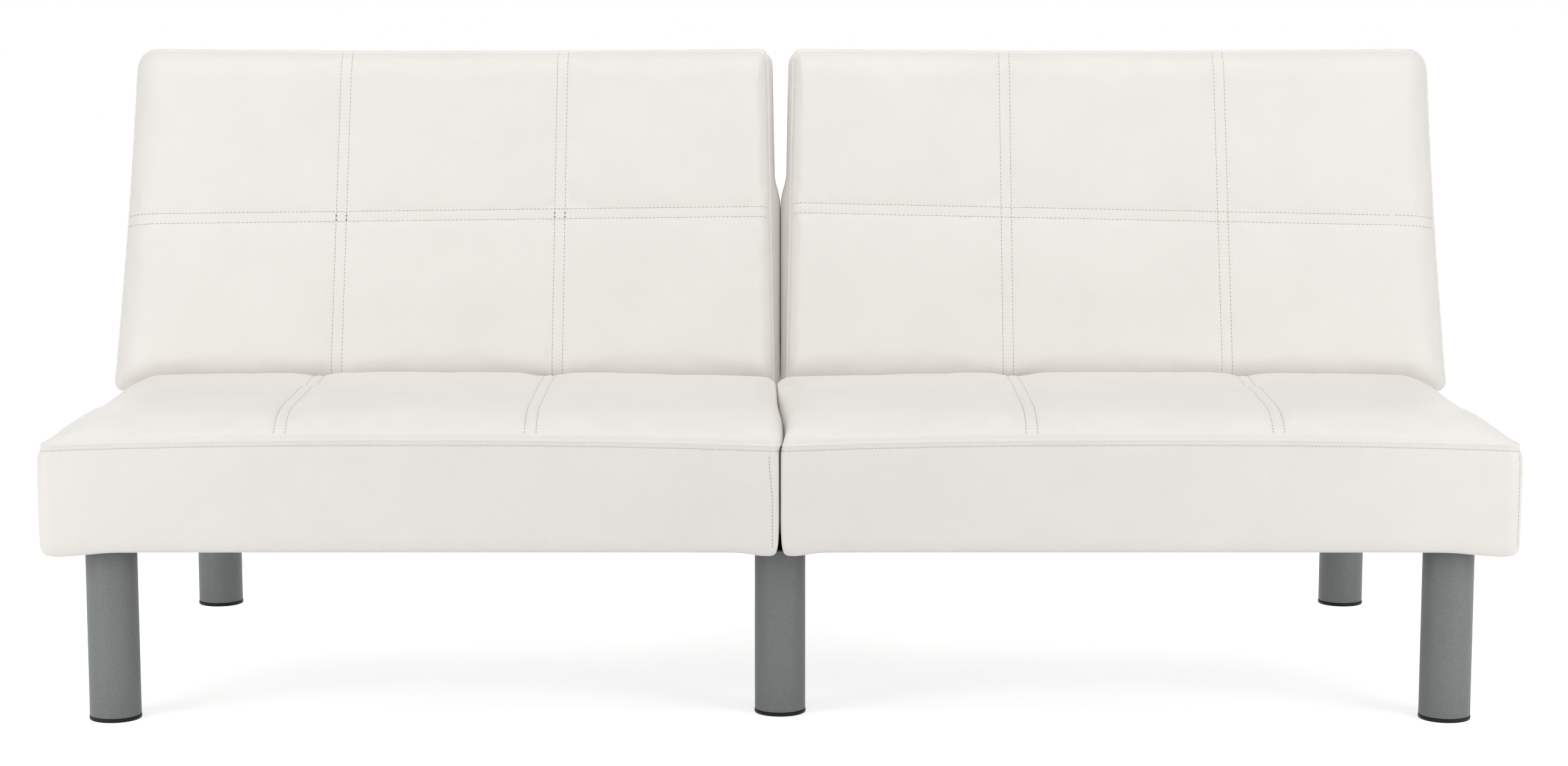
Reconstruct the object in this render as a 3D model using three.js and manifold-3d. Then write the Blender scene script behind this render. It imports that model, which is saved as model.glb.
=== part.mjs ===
// A split-back click clack sofa bed, built as it comes apart on a bench.
// Millimetres, +Z up. The seat faces -Y and +X is the sitter's left.
// Each half has its own seat and its own back, and each back turns on two ratchet hinges.

import * as THREE from "three";
import { mergeVertices } from "three/addons/utils/BufferGeometryUtils.js";
import Module from "manifold-3d";

const wasm = await Module();
wasm.setup();

// Overall sizes
const sofaWidth = 1812;
const halvesGap = 2.5; // between the left half and the right half
const seatDepth = 449; // front face of the seat to its rear edge
const seatRimHeight = 350; // floor to the sewn seam round the seat
const seatWall = 129; // sewn seam to the lower edge of the seat's cover
const backLength = 485; // lower edge of a back to its top edge
const backThickness = 95; // sewn seam round a back to its rear face

// Clearances
const seatedGap = 0.3; // between pieces that rest on each other
const notchGap = 0.6; // round a beam where it passes through a cover
const overrun = 5; // by which a cut passes the face it goes through

// Ratchet hinge: where it clicks
const clickStep = 12; // degrees from one notch to the next
const clicksBack = 6; // from the sitting position down to flat
const clicksForward = 1; // from the sitting position to the release
const pivotBehindSeat = 13;
const pivotBelowRim = 5;

// Upholstery
const seatCrown = 40; // rise of a seat's padding above its sewn seam
const backCrown = 33;
const seatFrontRoll = 100; // over which the padding rolls down to the seam
const seatSideRoll = 70;
const backTopRoll = 46;
const backSideRoll = 50;
const hingeRoll = 36;
const hingeRollPower = 1.5; // flattens the roll where the seat and the back press together
const channelShares = [0.337, 0.672]; // places of the sewn channels across one half
const midSeamShare = 0.48; // place of the cross channel up a back
const stitchSpread = 7; // from a channel's middle to each of its two rows of stitches
const channelFoot = 13;
const channelShoulder = 30;
const channelDepthShare = 0.15; // of the rise, lost along a row of stitches
const channelMiddleShare = 0.7; // of that depth, between the two rows
const channelFootShare = 0.5;
const seamDrop = 4;
const seamInset = 2.5;
const bandDrop = 12;
const bandTuck = 3; // of the edge beside the hinges, at the foot of the band
const wallBulge = 2.5;
const hemRoll = 10;
const hemInset = 2;
const drawIn = 3; // of the sides between their corners
const cornerRadius = 20;
const cornerSteps = 3;
const edgeSpan = 110; // along a side, within which its points make room for the corner
const backTaper = 9.5; // of each side of a back, from its lower edge to its top
const coverWall = 12; // leather, lining and wadding together on a wall
const waddingShare = 0.38; // of the rise, taken by the quilted wadding
const waddingLeast = 2.5;
const innerCorner = 4;
const seatUndercutDrop = 36;
const seatUndercut = 25; // room under the seat's rear edge for the hinges
const backUndercutDrop = 35;
const backUndercut = 47; // room under a back's lower edge for the hinges
const backRearInset = 8;

// Timber frames
const railThickness = 22;
const seatRailDrop = 47; // sewn seam to the top of the seat's rails
const apronRise = 4; // of the rails that hide the beams, above the cover's lower edge
const ledgeWidth = 36;
const ledgeHeight = 22;
const deckThickness = 9;
const ventRadius = 16;
const ventColumns = 4;
const ventRows = 2;
const ventSides = 6; // in half a turn
const boardThickness = 6;
const rearPanelThickness = 4;
const dustCoverThickness = 1.4;

// Steel underframe
const beamWidth = 50;
const beamHeight = 25;
const beamWall = 2;
const beamDrop = 3; // of the beams, below the lower edge of the seats' covers
const beamReach = 833; // seat front to the beams' rear ends
const crossRailDepth = 30;
const crossRailRise = 10; // by which the cross rail stands above the beams

// Legs
const legRadius = 31.75;
const legWall = 1.5;
const legTopPlate = 3;
const legInset = 76; // outer legs, inwards from the sofa's ends
const frontLegY = 76;
const middleLegY = 110;
const rearLegInset = 35; // rear legs, forwards from the beams' rear ends
const capBand = 4.5;
const capProud = 0.5;
const capChamfer = 1;
const capSpigot = 12;
const legSides = 24;

// Ratchet hinge: its pieces
const hingeInnerX = 56;
const hingeOuterInset = 64; // outer hinges, inwards from the sofa's ends
const fixedPlate = 4;
const sectorPlate = 5;
const armPlate = 4;
const slideGap = 0.5; // between plates that turn past each other
const bossRadius = 11;
const rivetRadius = 6;
const rivetPlay = 0.35;
const rivetHeadRadius = 10;
const rivetHead = 3;
const sectorRadius = 38;
const toothDepth = 6;
const notchMouth = 9; // degrees, at the teeth's tips
const notchFloor = 4.6; // degrees, at the teeth's roots
const sectorMargin = 8; // degrees beyond the last notch
const engageAngle = -45; // degrees, where the pawl meets the teeth, from straight back
const pawlPivotReach = 62;
const pawlPivotAngle = -80;
const pawlPinRadius = 4;
const pawlPinPlay = 0.3;
const pawlBoss = 8.5;
const pawlPlay = 0.9; // between the seated tooth and its notch
const pawlClear = 1.2; // between the lever and the teeth's tips
const pawlBack = 11; // thickness of the lever behind its tooth
const pawlLift = 12; // degrees that the stored pawl is held off the teeth
const flangeThickness = 4;
const flangeReach = 30;
const flangeHeight = 44;
const fixedFlangeTop = 46; // below the pivot
const armFlangeTop = 34; // behind the pivot, square to the back
const boltRadius = 6.5;
const boltHead = 5;
const boltShares = [0.25, 0.75]; // along a flange
const boltSides = 6;
const boreSides = 16;

// Derived places
const halfWidth = (sofaWidth - halvesGap) / 2;
const innerX = halvesGap / 2;
const hemHeight = seatRimHeight - seatWall;
const seatRailTop = seatRimHeight - seatRailDrop;
const apronBottom = hemHeight + apronRise;
const beamBottom = hemHeight - beamDrop;
const pivotY = seatDepth + pivotBehindSeat;
const pivotZ = seatRimHeight - pivotBelowRim;
const restAngle = clicksBack * clickStep; // degrees up from flat
const backTop = pivotBehindSeat + backLength;
const beamTop = beamBottom + beamHeight;
const legX = sofaWidth / 2 - legInset;
const rearLegY = beamReach - rearLegInset;
const hingeOuterX = sofaWidth / 2 - hingeOuterInset;
const beamPlaces = [-legX, 0, legX];
const fit = coverWall + seatedGap; // from a cover's outer face to what it covers

// Finishes
const finishes = {
  leather: { color: 0xeceae4, roughness: 0.5, metalness: 0 },
  foam: { color: 0xe8d9a0, roughness: 0.95, metalness: 0 },
  timber: { color: 0xc9a878, roughness: 0.8, metalness: 0 },
  plywood: { color: 0xd8bd8c, roughness: 0.8, metalness: 0 },
  dustCloth: { color: 0x1d1d1f, roughness: 0.95, metalness: 0 },
  beamPaint: { color: 0x2a2b2d, roughness: 0.55, metalness: 0.3 },
  legPaint: { color: 0x6f7577, roughness: 0.35, metalness: 0.6 },
  plastic: { color: 0x141415, roughness: 0.6, metalness: 0 },
  zinc: { color: 0x8f9294, roughness: 0.4, metalness: 0.9 },
};

const radians = THREE.MathUtils.degToRad;

function piece(name, geometry, finish) {
  const material = new THREE.MeshStandardMaterial(finishes[finish]);
  const mesh = new THREE.Mesh(geometry, material);
  mesh.name = name;
  return mesh;
}

// Booleans

function solidOf(geometry) {
  const bare = geometry.clone();
  bare.deleteAttribute("normal");
  bare.deleteAttribute("uv");
  const merged = mergeVertices(bare);
  return new wasm.Manifold(
    new wasm.Mesh({
      numProp: 3,
      vertProperties: new Float32Array(merged.attributes.position.array),
      triVerts: new Uint32Array(merged.index.array),
    }),
  );
}

function geometryOf(solid) {
  const mesh = solid.getMesh();
  const geometry = new THREE.BufferGeometry();
  const positions = new Float32Array(mesh.vertProperties);
  geometry.setAttribute("position", new THREE.BufferAttribute(positions, 3));
  geometry.setIndex(new THREE.BufferAttribute(new Uint32Array(mesh.triVerts), 1));
  geometry.computeVertexNormals();
  return geometry;
}

// Plain shapes

function box(from, to) {
  const size = to.map((value, axis) => value - from[axis]);
  const middle = to.map((value, axis) => (value + from[axis]) / 2);
  return new THREE.BoxGeometry(...size).translate(...middle);
}

// An outline in the plane seen from the side, (y, z), made into a plate that is thick along X.
function sidePlate(shape, thickness, curveSegments = boreSides) {
  const toSide = new THREE.Matrix4().makeBasis(
    new THREE.Vector3(0, 1, 0),
    new THREE.Vector3(0, 0, 1),
    new THREE.Vector3(1, 0, 0),
  );
  const options = { depth: thickness, bevelEnabled: false, curveSegments };
  return new THREE.ExtrudeGeometry(shape, options).applyMatrix4(toSide);
}

// A round bar along X.
function crossBar(radius, length, sides, y, z, fromX) {
  return new THREE.CylinderGeometry(radius, radius, length, sides)
    .rotateZ(Math.PI / 2)
    .translate(fromX + length / 2, y, z);
}

// A flat board in the plane seen from above, with its corners cut off.
function flatBoard(from, to, corner, thickness, holes = []) {
  const shape = new THREE.Shape();
  shape.moveTo(from[0] + corner, from[1]);
  shape.lineTo(to[0] - corner, from[1]);
  shape.lineTo(to[0], from[1] + corner);
  shape.lineTo(to[0], to[1] - corner);
  shape.lineTo(to[0] - corner, to[1]);
  shape.lineTo(from[0] + corner, to[1]);
  shape.lineTo(from[0], to[1] - corner);
  shape.lineTo(from[0], from[1] + corner);
  for (const [x, y] of holes) {
    const hole = new THREE.Path();
    hole.absarc(x, y, ventRadius, 0, 2 * Math.PI, true);
    shape.holes.push(hole);
  }
  const options = { depth: thickness, bevelEnabled: false, curveSegments: ventSides };
  return new THREE.ExtrudeGeometry(shape, options);
}

// Padded forms. Each lies with its sewn seam at z = 0 and its padding above,
// x from the inner side outwards, y from its free edge to the edge beside the hinges.

function roll(distance, width) {
  const left = 1 - Math.min(Math.max(distance / width, 0), 1);
  return Math.sqrt(1 - left * left);
}

function grooveAt(distance) {
  const spots = [
    [0, channelMiddleShare],
    [stitchSpread, 1],
    [channelFoot, channelFootShare],
    [channelShoulder, 0],
  ];
  for (let i = 1; i < spots.length; i++) {
    const [near, before] = spots[i - 1];
    const [far, after] = spots[i];
    if (distance < far) {
      return THREE.MathUtils.mapLinear(Math.max(distance, near), near, far, before, after);
    }
  }
  return 0;
}

// Places along one direction of a form that get a row of points.
function stopsAlong(length, startRoll, endRoll, channels, rollShares, fills) {
  const offsets = [-channelShoulder, -channelFoot, -stitchSpread, 0];
  offsets.push(stitchSpread, channelFoot, channelShoulder);
  const blocks = [rollShares.map((share) => share * startRoll)];
  for (const middle of channels) blocks.push(offsets.map((offset) => middle + offset));
  blocks.push(rollShares.map((share) => length - share * endRoll).reverse());
  const stops = [...blocks[0]];
  for (const block of blocks.slice(1)) {
    const start = stops[stops.length - 1];
    for (let i = 1; i <= fills; i++) stops.push(start + ((block[0] - start) * i) / (fills + 1));
    stops.push(...block);
  }
  return stops;
}

// Moves a place near either end of a side inwards, so that the side ends at low and high.
function makeRoom(place, length, low, high) {
  if (place < edgeSpan) return low + (place / edgeSpan) * (edgeSpan - low);
  const fromEnd = length - place;
  if (fromEnd < edgeSpan) return high - (fromEnd / edgeSpan) * (high - length + edgeSpan);
  return place;
}

// How far a rounded corner stands in from the side, at a distance from the next side.
function cornerPinch(distance, radius) {
  return radius * (1 - roll(distance, radius));
}

function paddedForm(form) {
  const { columns, rows, width, length, levels, rise, corner, bow, taper, sideTuck } = form;
  const lastColumn = columns.length - 1;
  const lastRow = rows.length - 1;
  const points = [];
  const faces = [];
  const add = (x, y, z) => points.push([x, y, z]) - 1;
  const bowAt = (share) => bow * Math.sin(Math.PI * share);
  const taperAt = (y) => sideTuck + taper * (1 - y / length);

  // One ring of points round the form, as two long sides, two short sides and four corners.
  function ring({ drop, inset, hinge }) {
    const front = inset;
    const rear = length - hinge;
    const side = (y) => inset + taperAt(y) + bowAt(y / length);
    const index = { front: [], right: [], rear: [], left: [], order: [] };
    const across = (i, y) => {
      const low = side(y) + corner;
      return makeRoom(columns[i], width, low, width - low);
    };
    const along = (j) => makeRoom(rows[j], length, front + corner, rear - corner);
    const turn = (centreX, centreY, from) => {
      for (let step = 1; step < cornerSteps; step++) {
        const angle = from + (step / cornerSteps) * (Math.PI / 2);
        const x = centreX + corner * Math.cos(angle);
        const y = centreY + corner * Math.sin(angle);
        index.order.push(add(x, y, -drop));
      }
    };
    const frontY = (i) => front + bow * Math.sin((Math.PI * columns[i]) / width);
    for (let i = 0; i <= lastColumn; i++) {
      index.order.push((index.front[i] = add(across(i, front + corner), frontY(i), -drop)));
    }
    turn(width - side(front + corner) - corner, front + corner, -Math.PI / 2);
    for (let j = 0; j <= lastRow; j++) {
      index.order.push((index.right[j] = add(width - side(along(j)), along(j), -drop)));
    }
    turn(width - side(rear - corner) - corner, rear - corner, 0);
    for (let i = lastColumn; i >= 0; i--) {
      index.order.push((index.rear[i] = add(across(i, rear - corner), rear, -drop)));
    }
    turn(side(rear - corner) + corner, rear - corner, Math.PI / 2);
    for (let j = lastRow; j >= 0; j--) {
      index.order.push((index.left[j] = add(side(along(j)), along(j), -drop)));
    }
    turn(side(front + corner) + corner, front + corner, Math.PI);
    return index;
  }

  const rings = levels.map(ring);
  const top = rings[0];
  const base = levels[0];

  // The padded face, inside the first ring.
  const inside = new Map();
  for (let i = 1; i < lastColumn; i++) {
    for (let j = 1; j < lastRow; j++) {
      const fromSide = Math.min(columns[i], width - columns[i]);
      const fromEnd = Math.min(rows[j], length - rows[j]);
      const sideIn = base.inset + taperAt(rows[j]) + bowAt(rows[j] / length);
      const lowX = sideIn + cornerPinch(fromEnd, corner);
      const pinchY = cornerPinch(fromSide, corner);
      const x = makeRoom(columns[i], width, lowX, width - lowX);
      const y = makeRoom(rows[j], length, base.inset + pinchY, length - base.hinge - pinchY);
      inside.set(i + "," + j, add(x, y, -base.drop + rise(columns[i], rows[j])));
    }
  }
  const at = (i, j) => {
    if (j === 0) return top.front[i];
    if (j === lastRow) return top.rear[i];
    if (i === 0) return top.left[j];
    if (i === lastColumn) return top.right[j];
    return inside.get(i + "," + j);
  };
  for (let i = 0; i < lastColumn; i++) {
    for (let j = 0; j < lastRow; j++) {
      const atSide = i === 0 || i === lastColumn - 1;
      const atEnd = j === 0 || j === lastRow - 1;
      if (atSide && atEnd) continue;
      faces.push([at(i, j), at(i + 1, j), at(i + 1, j + 1)]);
      faces.push([at(i, j), at(i + 1, j + 1), at(i, j + 1)]);
    }
  }
  const fans = [
    [inside.get("1,1"), top.left[1], top.front[1]],
    [inside.get(lastColumn - 1 + ",1"), top.front[lastColumn - 1], top.right[1]],
    [
      inside.get(lastColumn - 1 + "," + (lastRow - 1)),
      top.right[lastRow - 1],
      top.rear[lastColumn - 1],
    ],
    [inside.get("1," + (lastRow - 1)), top.rear[1], top.left[lastRow - 1]],
  ];
  const count = top.order.length;
  for (const [hub, first, last] of fans) {
    let spot = top.order.indexOf(first);
    while (top.order[spot] !== last) {
      const next = (spot + 1) % count;
      faces.push([hub, top.order[spot], top.order[next]]);
      spot = next;
    }
  }

  // The walls, ring by ring, and the flat underside.
  for (let k = 1; k < rings.length; k++) {
    const upper = rings[k - 1].order;
    const lower = rings[k].order;
    for (let m = 0; m < count; m++) {
      const next = (m + 1) % count;
      faces.push([lower[m], lower[next], upper[next]]);
      faces.push([lower[m], upper[next], upper[m]]);
    }
  }
  const last = levels[levels.length - 1];
  const hub = add(width / 2, (last.inset + length - last.hinge) / 2, -last.drop);
  const lowest = rings[rings.length - 1].order;
  for (let m = 0; m < count; m++) faces.push([hub, lowest[(m + 1) % count], lowest[m]]);

  const geometry = new THREE.BufferGeometry();
  geometry.setAttribute("position", new THREE.Float32BufferAttribute(points.flat(), 3));
  geometry.setIndex(faces.flat());
  return geometry;
}

function upholstery(form) {
  const { length, depth, crown, sideRoll, freeRoll, undercutDrop, undercut } = form;
  const { rearInset, rearRoll, cross, taper } = form;
  const width = halfWidth;
  const channels = channelShares.map((share) => share * width);
  const crossChannels = cross.map((share) => share * length);
  const skinShares = [0, 0.14, 0.45, 1];
  const coreShares = [0, 0.3, 1];

  const hingeSide = (distance) => {
    const left = 1 - Math.min(distance / hingeRoll, 1);
    return (1 - left ** hingeRollPower) ** (1 / hingeRollPower);
  };
  const plainRise = (x, y) => {
    const across = roll(x, sideRoll) * roll(width - x, sideRoll);
    return crown * across * roll(y, freeRoll) * hingeSide(length - y);
  };
  const quilted = (x, y) => {
    const depths = channels.map((middle) => grooveAt(Math.abs(x - middle)));
    for (const middle of crossChannels) depths.push(grooveAt(Math.abs(y - middle)));
    return plainRise(x, y) * (1 - channelDepthShare * Math.max(...depths));
  };
  const skin = paddedForm({
    width,
    length,
    taper,
    sideTuck: 0,
    corner: cornerRadius,
    bow: drawIn,
    columns: stopsAlong(width, sideRoll, sideRoll, channels, skinShares, 1),
    rows: stopsAlong(length, freeRoll, hingeRoll, crossChannels, skinShares, cross.length ? 1 : 3),
    rise: quilted,
    levels: [
      { drop: 0, inset: wallBulge, hinge: 0 },
      { drop: seamDrop, inset: wallBulge + seamInset, hinge: 0 },
      { drop: bandDrop, inset: wallBulge, hinge: bandTuck },
      { drop: undercutDrop, inset: wallBulge / 2, hinge: undercut },
      { drop: (undercutDrop + depth) / 2, inset: 0, hinge: undercut },
      { drop: depth - rearRoll, inset: wallBulge / 2, hinge: undercut },
      { drop: depth, inset: wallBulge + rearInset, hinge: undercut },
    ],
  });

  // The space inside the cover, and with a clearance the foam that fills it.
  const core = (clearance, bottomDrop) =>
    paddedForm({
      width,
      length,
      taper: 0,
      sideTuck: taper,
      corner: innerCorner,
      bow: 0,
      columns: stopsAlong(width, sideRoll, sideRoll, [], coreShares, 1),
      rows: stopsAlong(length, freeRoll, hingeRoll, [], coreShares, 2),
      rise: (x, y) => plainRise(x, y) * (1 - waddingShare),
      levels: [
        [waddingLeast + clearance, 0],
        [bandDrop - clearance, bandTuck],
        [undercutDrop - clearance, undercut],
        [bottomDrop, undercut],
      ].map(([drop, tuck]) => ({
        drop,
        inset: coverWall + clearance,
        hinge: coverWall + tuck + clearance,
      })),
    });
  return { width, skin, core };
}

// Seats

const seatPadding = upholstery({
  length: seatDepth,
  depth: seatWall,
  crown: seatCrown,
  sideRoll: seatSideRoll,
  freeRoll: seatFrontRoll,
  undercutDrop: seatUndercutDrop,
  undercut: seatUndercut,
  rearInset: hemInset,
  rearRoll: hemRoll,
  cross: [],
  taper: 0,
});
const deckBottom = seatRailTop + seatedGap;
const deckTop = deckBottom + deckThickness;
const railRear = seatDepth - seatUndercut - fit;
const railFront = fit;

function seatCover() {
  const inside = solidOf(seatPadding.core(0, seatWall + overrun));
  let cover = solidOf(seatPadding.skin).subtract(inside);
  for (const beamX of [0, legX]) {
    const low = beamX - beamWidth / 2 - notchGap - innerX;
    const high = beamX + beamWidth / 2 + notchGap - innerX;
    const notch = box(
      [low, railFront, -seatWall - overrun],
      [high, seatDepth + overrun, beamTop + notchGap - seatRimHeight],
    );
    cover = cover.subtract(solidOf(notch));
  }
  return geometryOf(cover);
}

function seatFoam() {
  const floor = seatRimHeight - deckTop - seatedGap;
  const whole = solidOf(seatPadding.core(seatedGap, seatWall));
  const above = box([-overrun, -overrun, -floor], [halfWidth + overrun, seatDepth, seatDepth]);
  return geometryOf(whole.intersect(solidOf(above)));
}

function seatDeck() {
  const from = [innerX + fit, railFront];
  const to = [innerX + halfWidth - fit, railRear];
  const holes = [];
  for (let i = 0; i < ventColumns; i++) {
    for (let j = 0; j < ventRows; j++) {
      const x = from[0] + ((to[0] - from[0]) * (i + 1 / 2)) / ventColumns;
      const y = from[1] + ((to[1] - from[1]) * (j + 1 / 2)) / ventRows;
      holes.push([x, y]);
    }
  }
  return flatBoard(from, to, innerCorner, deckThickness, holes).translate(0, 0, deckBottom);
}

function outerRail() {
  const outer = innerX + halfWidth - fit;
  const front = railFront + railThickness + seatedGap;
  const rear = railRear - railThickness - seatedGap;
  const ledgeBottom = beamTop + seatedGap;
  const shape = new THREE.Shape();
  shape.moveTo(outer, apronBottom);
  shape.lineTo(outer, seatRailTop);
  shape.lineTo(outer - railThickness, seatRailTop);
  shape.lineTo(outer - railThickness, ledgeBottom + ledgeHeight);
  shape.lineTo(outer - railThickness - ledgeWidth, ledgeBottom + ledgeHeight);
  shape.lineTo(outer - railThickness - ledgeWidth, ledgeBottom);
  shape.lineTo(outer - railThickness, ledgeBottom);
  shape.lineTo(outer - railThickness, apronBottom);
  const options = { depth: rear - front, bevelEnabled: false };
  return new THREE.ExtrudeGeometry(shape, options).rotateX(Math.PI / 2).translate(0, rear, 0);
}

function seatPieces(side) {
  const left = innerX + fit;
  const right = innerX + halfWidth - fit;
  const bearing = beamTop + seatedGap;
  const between = [railFront + railThickness + seatedGap, railRear - railThickness - seatedGap];
  const cover = piece("seat_cover_" + side, seatCover(), "leather");
  const foam = piece("seat_foam_" + side, seatFoam(), "foam");
  for (const padded of [cover, foam]) padded.position.set(innerX, 0, seatRimHeight);
  const frontRail = box(
    [left + innerCorner, railFront, apronBottom],
    [right - innerCorner, railFront + railThickness, seatRailTop],
  );
  const rearRail = box(
    [left + innerCorner, railRear - railThickness, bearing],
    [right - innerCorner, railRear, seatRailTop],
  );
  const innerRail = box(
    [left, between[0], bearing],
    [left + railThickness, between[1], seatRailTop],
  );
  const cloth = box(
    [beamWidth / 2 + notchGap, between[0], bearing - seatedGap * 2 - dustCoverThickness],
    [legX - beamWidth / 2 - notchGap, railRear, bearing - seatedGap * 2],
  );
  return [
    cover,
    foam,
    piece("seat_deck_" + side, seatDeck(), "plywood"),
    piece("seat_front_rail_" + side, frontRail, "timber"),
    piece("seat_rear_rail_" + side, rearRail, "timber"),
    piece("seat_inner_rail_" + side, innerRail, "timber"),
    piece("seat_outer_rail_" + side, outerRail(), "timber"),
    piece("dust_cover_" + side, cloth, "dustCloth"),
  ];
}

// Backs. A back lies flat in its own frame: y runs from the pivot up the back,
// and z squarely out of its front.

const backPadding = upholstery({
  length: backLength,
  depth: backThickness,
  crown: backCrown,
  sideRoll: backSideRoll,
  freeRoll: backTopRoll,
  undercutDrop: backUndercutDrop,
  undercut: backUndercut,
  rearInset: backRearInset,
  rearRoll: hemRoll,
  cross: [midSeamShare],
  taper: backTaper,
});
const rearFace = pivotBelowRim - backThickness;

function backCover() {
  const inside = solidOf(backPadding.core(0, backThickness + overrun));
  return geometryOf(solidOf(backPadding.skin).subtract(inside));
}

function backFoam(boardFront) {
  const whole = solidOf(backPadding.core(seatedGap, backThickness));
  const floor = boardFront + seatedGap - pivotBelowRim;
  const above = box([-overrun, -overrun, floor], [halfWidth, backLength + overrun, backLength]);
  return geometryOf(whole.intersect(solidOf(above)));
}

function backPieces(side) {
  const sideFit = fit + backTaper;
  const left = innerX + sideFit;
  const right = innerX + halfWidth - sideFit;
  const top = backTop - fit;
  const bottom = pivotBehindSeat + backUndercut + fit;
  const panelFront = rearFace + seatedGap + rearPanelThickness;
  const railRearFace = panelFront + seatedGap;
  const boardRear = pivotBelowRim - backUndercutDrop;
  const railDepth = [railRearFace, boardRear - seatedGap];
  const boardFront = boardRear + boardThickness;
  const rail = (x, y) => box([x[0], y[0], railDepth[0]], [x[1], y[1], railDepth[1]]);
  const cross = [left + innerCorner, right - innerCorner];
  const between = [bottom + railThickness + seatedGap, top - railThickness - seatedGap];
  const board = (thickness) => flatBoard([left, bottom], [right, top], innerCorner, thickness);
  const cover = piece("back_cover_" + side, backCover(), "leather");
  const foam = piece("back_foam_" + side, backFoam(boardFront), "foam");
  for (const padded of [cover, foam]) {
    padded.scale.y = -1;
    padded.position.set(innerX, backTop, pivotBelowRim);
  }
  return [
    cover,
    foam,
    piece("back_board_" + side, board(boardThickness).translate(0, 0, boardRear), "plywood"),
    piece("back_top_rail_" + side, rail(cross, [top - railThickness, top]), "timber"),
    piece("back_bottom_rail_" + side, rail(cross, [bottom, bottom + railThickness]), "timber"),
    piece("back_inner_rail_" + side, rail([left, left + railThickness], between), "timber"),
    piece("back_outer_rail_" + side, rail([right - railThickness, right], between), "timber"),
    piece(
      "back_rear_panel_" + side,
      board(rearPanelThickness).translate(0, 0, rearFace + seatedGap),
      "leather",
    ),
  ];
}

// Ratchet hinge. Each outline is drawn in the plane seen from the side, about the pivot.
// Across the sofa a hinge is a fixed plate, then the toothed sector and the pawl side by
// side, then the arm, which is one piece with the sector.

const spot = (reach, angle) => [
  reach * Math.cos(radians(angle)),
  reach * Math.sin(radians(angle)),
];
const pawlPivot = spot(pawlPivotReach, pawlPivotAngle);
const sectorFrom = fixedPlate + slideGap;
const armFrom = sectorFrom + sectorPlate;
const armTo = armFrom + armPlate;

function outline(points) {
  return new THREE.Shape(points.map(([y, z]) => new THREE.Vector2(y, z)));
}

function join(solids) {
  return solids.reduce((whole, next) => whole.add(next));
}

// The plate that is bolted to the seat's rear rail, with the two rivets that it carries.
function hingePlate() {
  const wall = -pivotBehindSeat - seatUndercut + seatedGap;
  const top = -fixedFlangeTop;
  const bottom = top - flangeHeight;
  const [pawlY, pawlZ] = pawlPivot;
  const rim = pawlBoss + slideGap;
  const shape = outline([
    [-bossRadius, 0],
    [wall + flangeThickness, top],
    [wall, top],
    [wall, bottom],
    [wall + flangeThickness, bottom],
    [pawlY - rim / 2, pawlZ - rim],
    [pawlY + rim / 2, pawlZ - rim],
    [pawlY + rim, pawlZ],
    [bossRadius, 0],
  ]);
  const flange = box([-flangeReach, wall, bottom], [fixedPlate, wall + flangeThickness, top]);
  const solids = [
    solidOf(sidePlate(shape, fixedPlate)),
    solidOf(crossBar(bossRadius, fixedPlate, boreSides, 0, 0, 0)),
    solidOf(flange),
    solidOf(crossBar(rivetRadius, armTo + slideGap + rivetHead, boreSides, 0, 0, 0)),
    solidOf(crossBar(rivetHeadRadius, rivetHead, boreSides, 0, 0, armTo + slideGap)),
    solidOf(crossBar(pawlPinRadius, armFrom - slideGap, boreSides, pawlY, pawlZ, 0)),
  ];
  for (const share of boltShares) {
    const head = new THREE.CylinderGeometry(boltRadius, boltRadius, boltHead * 2, boltSides);
    const z = bottom + share * flangeHeight;
    solids.push(solidOf(head.translate(-flangeReach / 2, wall + flangeThickness, z)));
  }
  const behindWall = box(
    [-flangeReach - overrun, wall - flangeThickness - overrun, bottom - overrun],
    [fixedPlate + overrun, wall, top + overrun],
  );
  return geometryOf(join(solids).subtract(solidOf(behindWall)));
}

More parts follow.
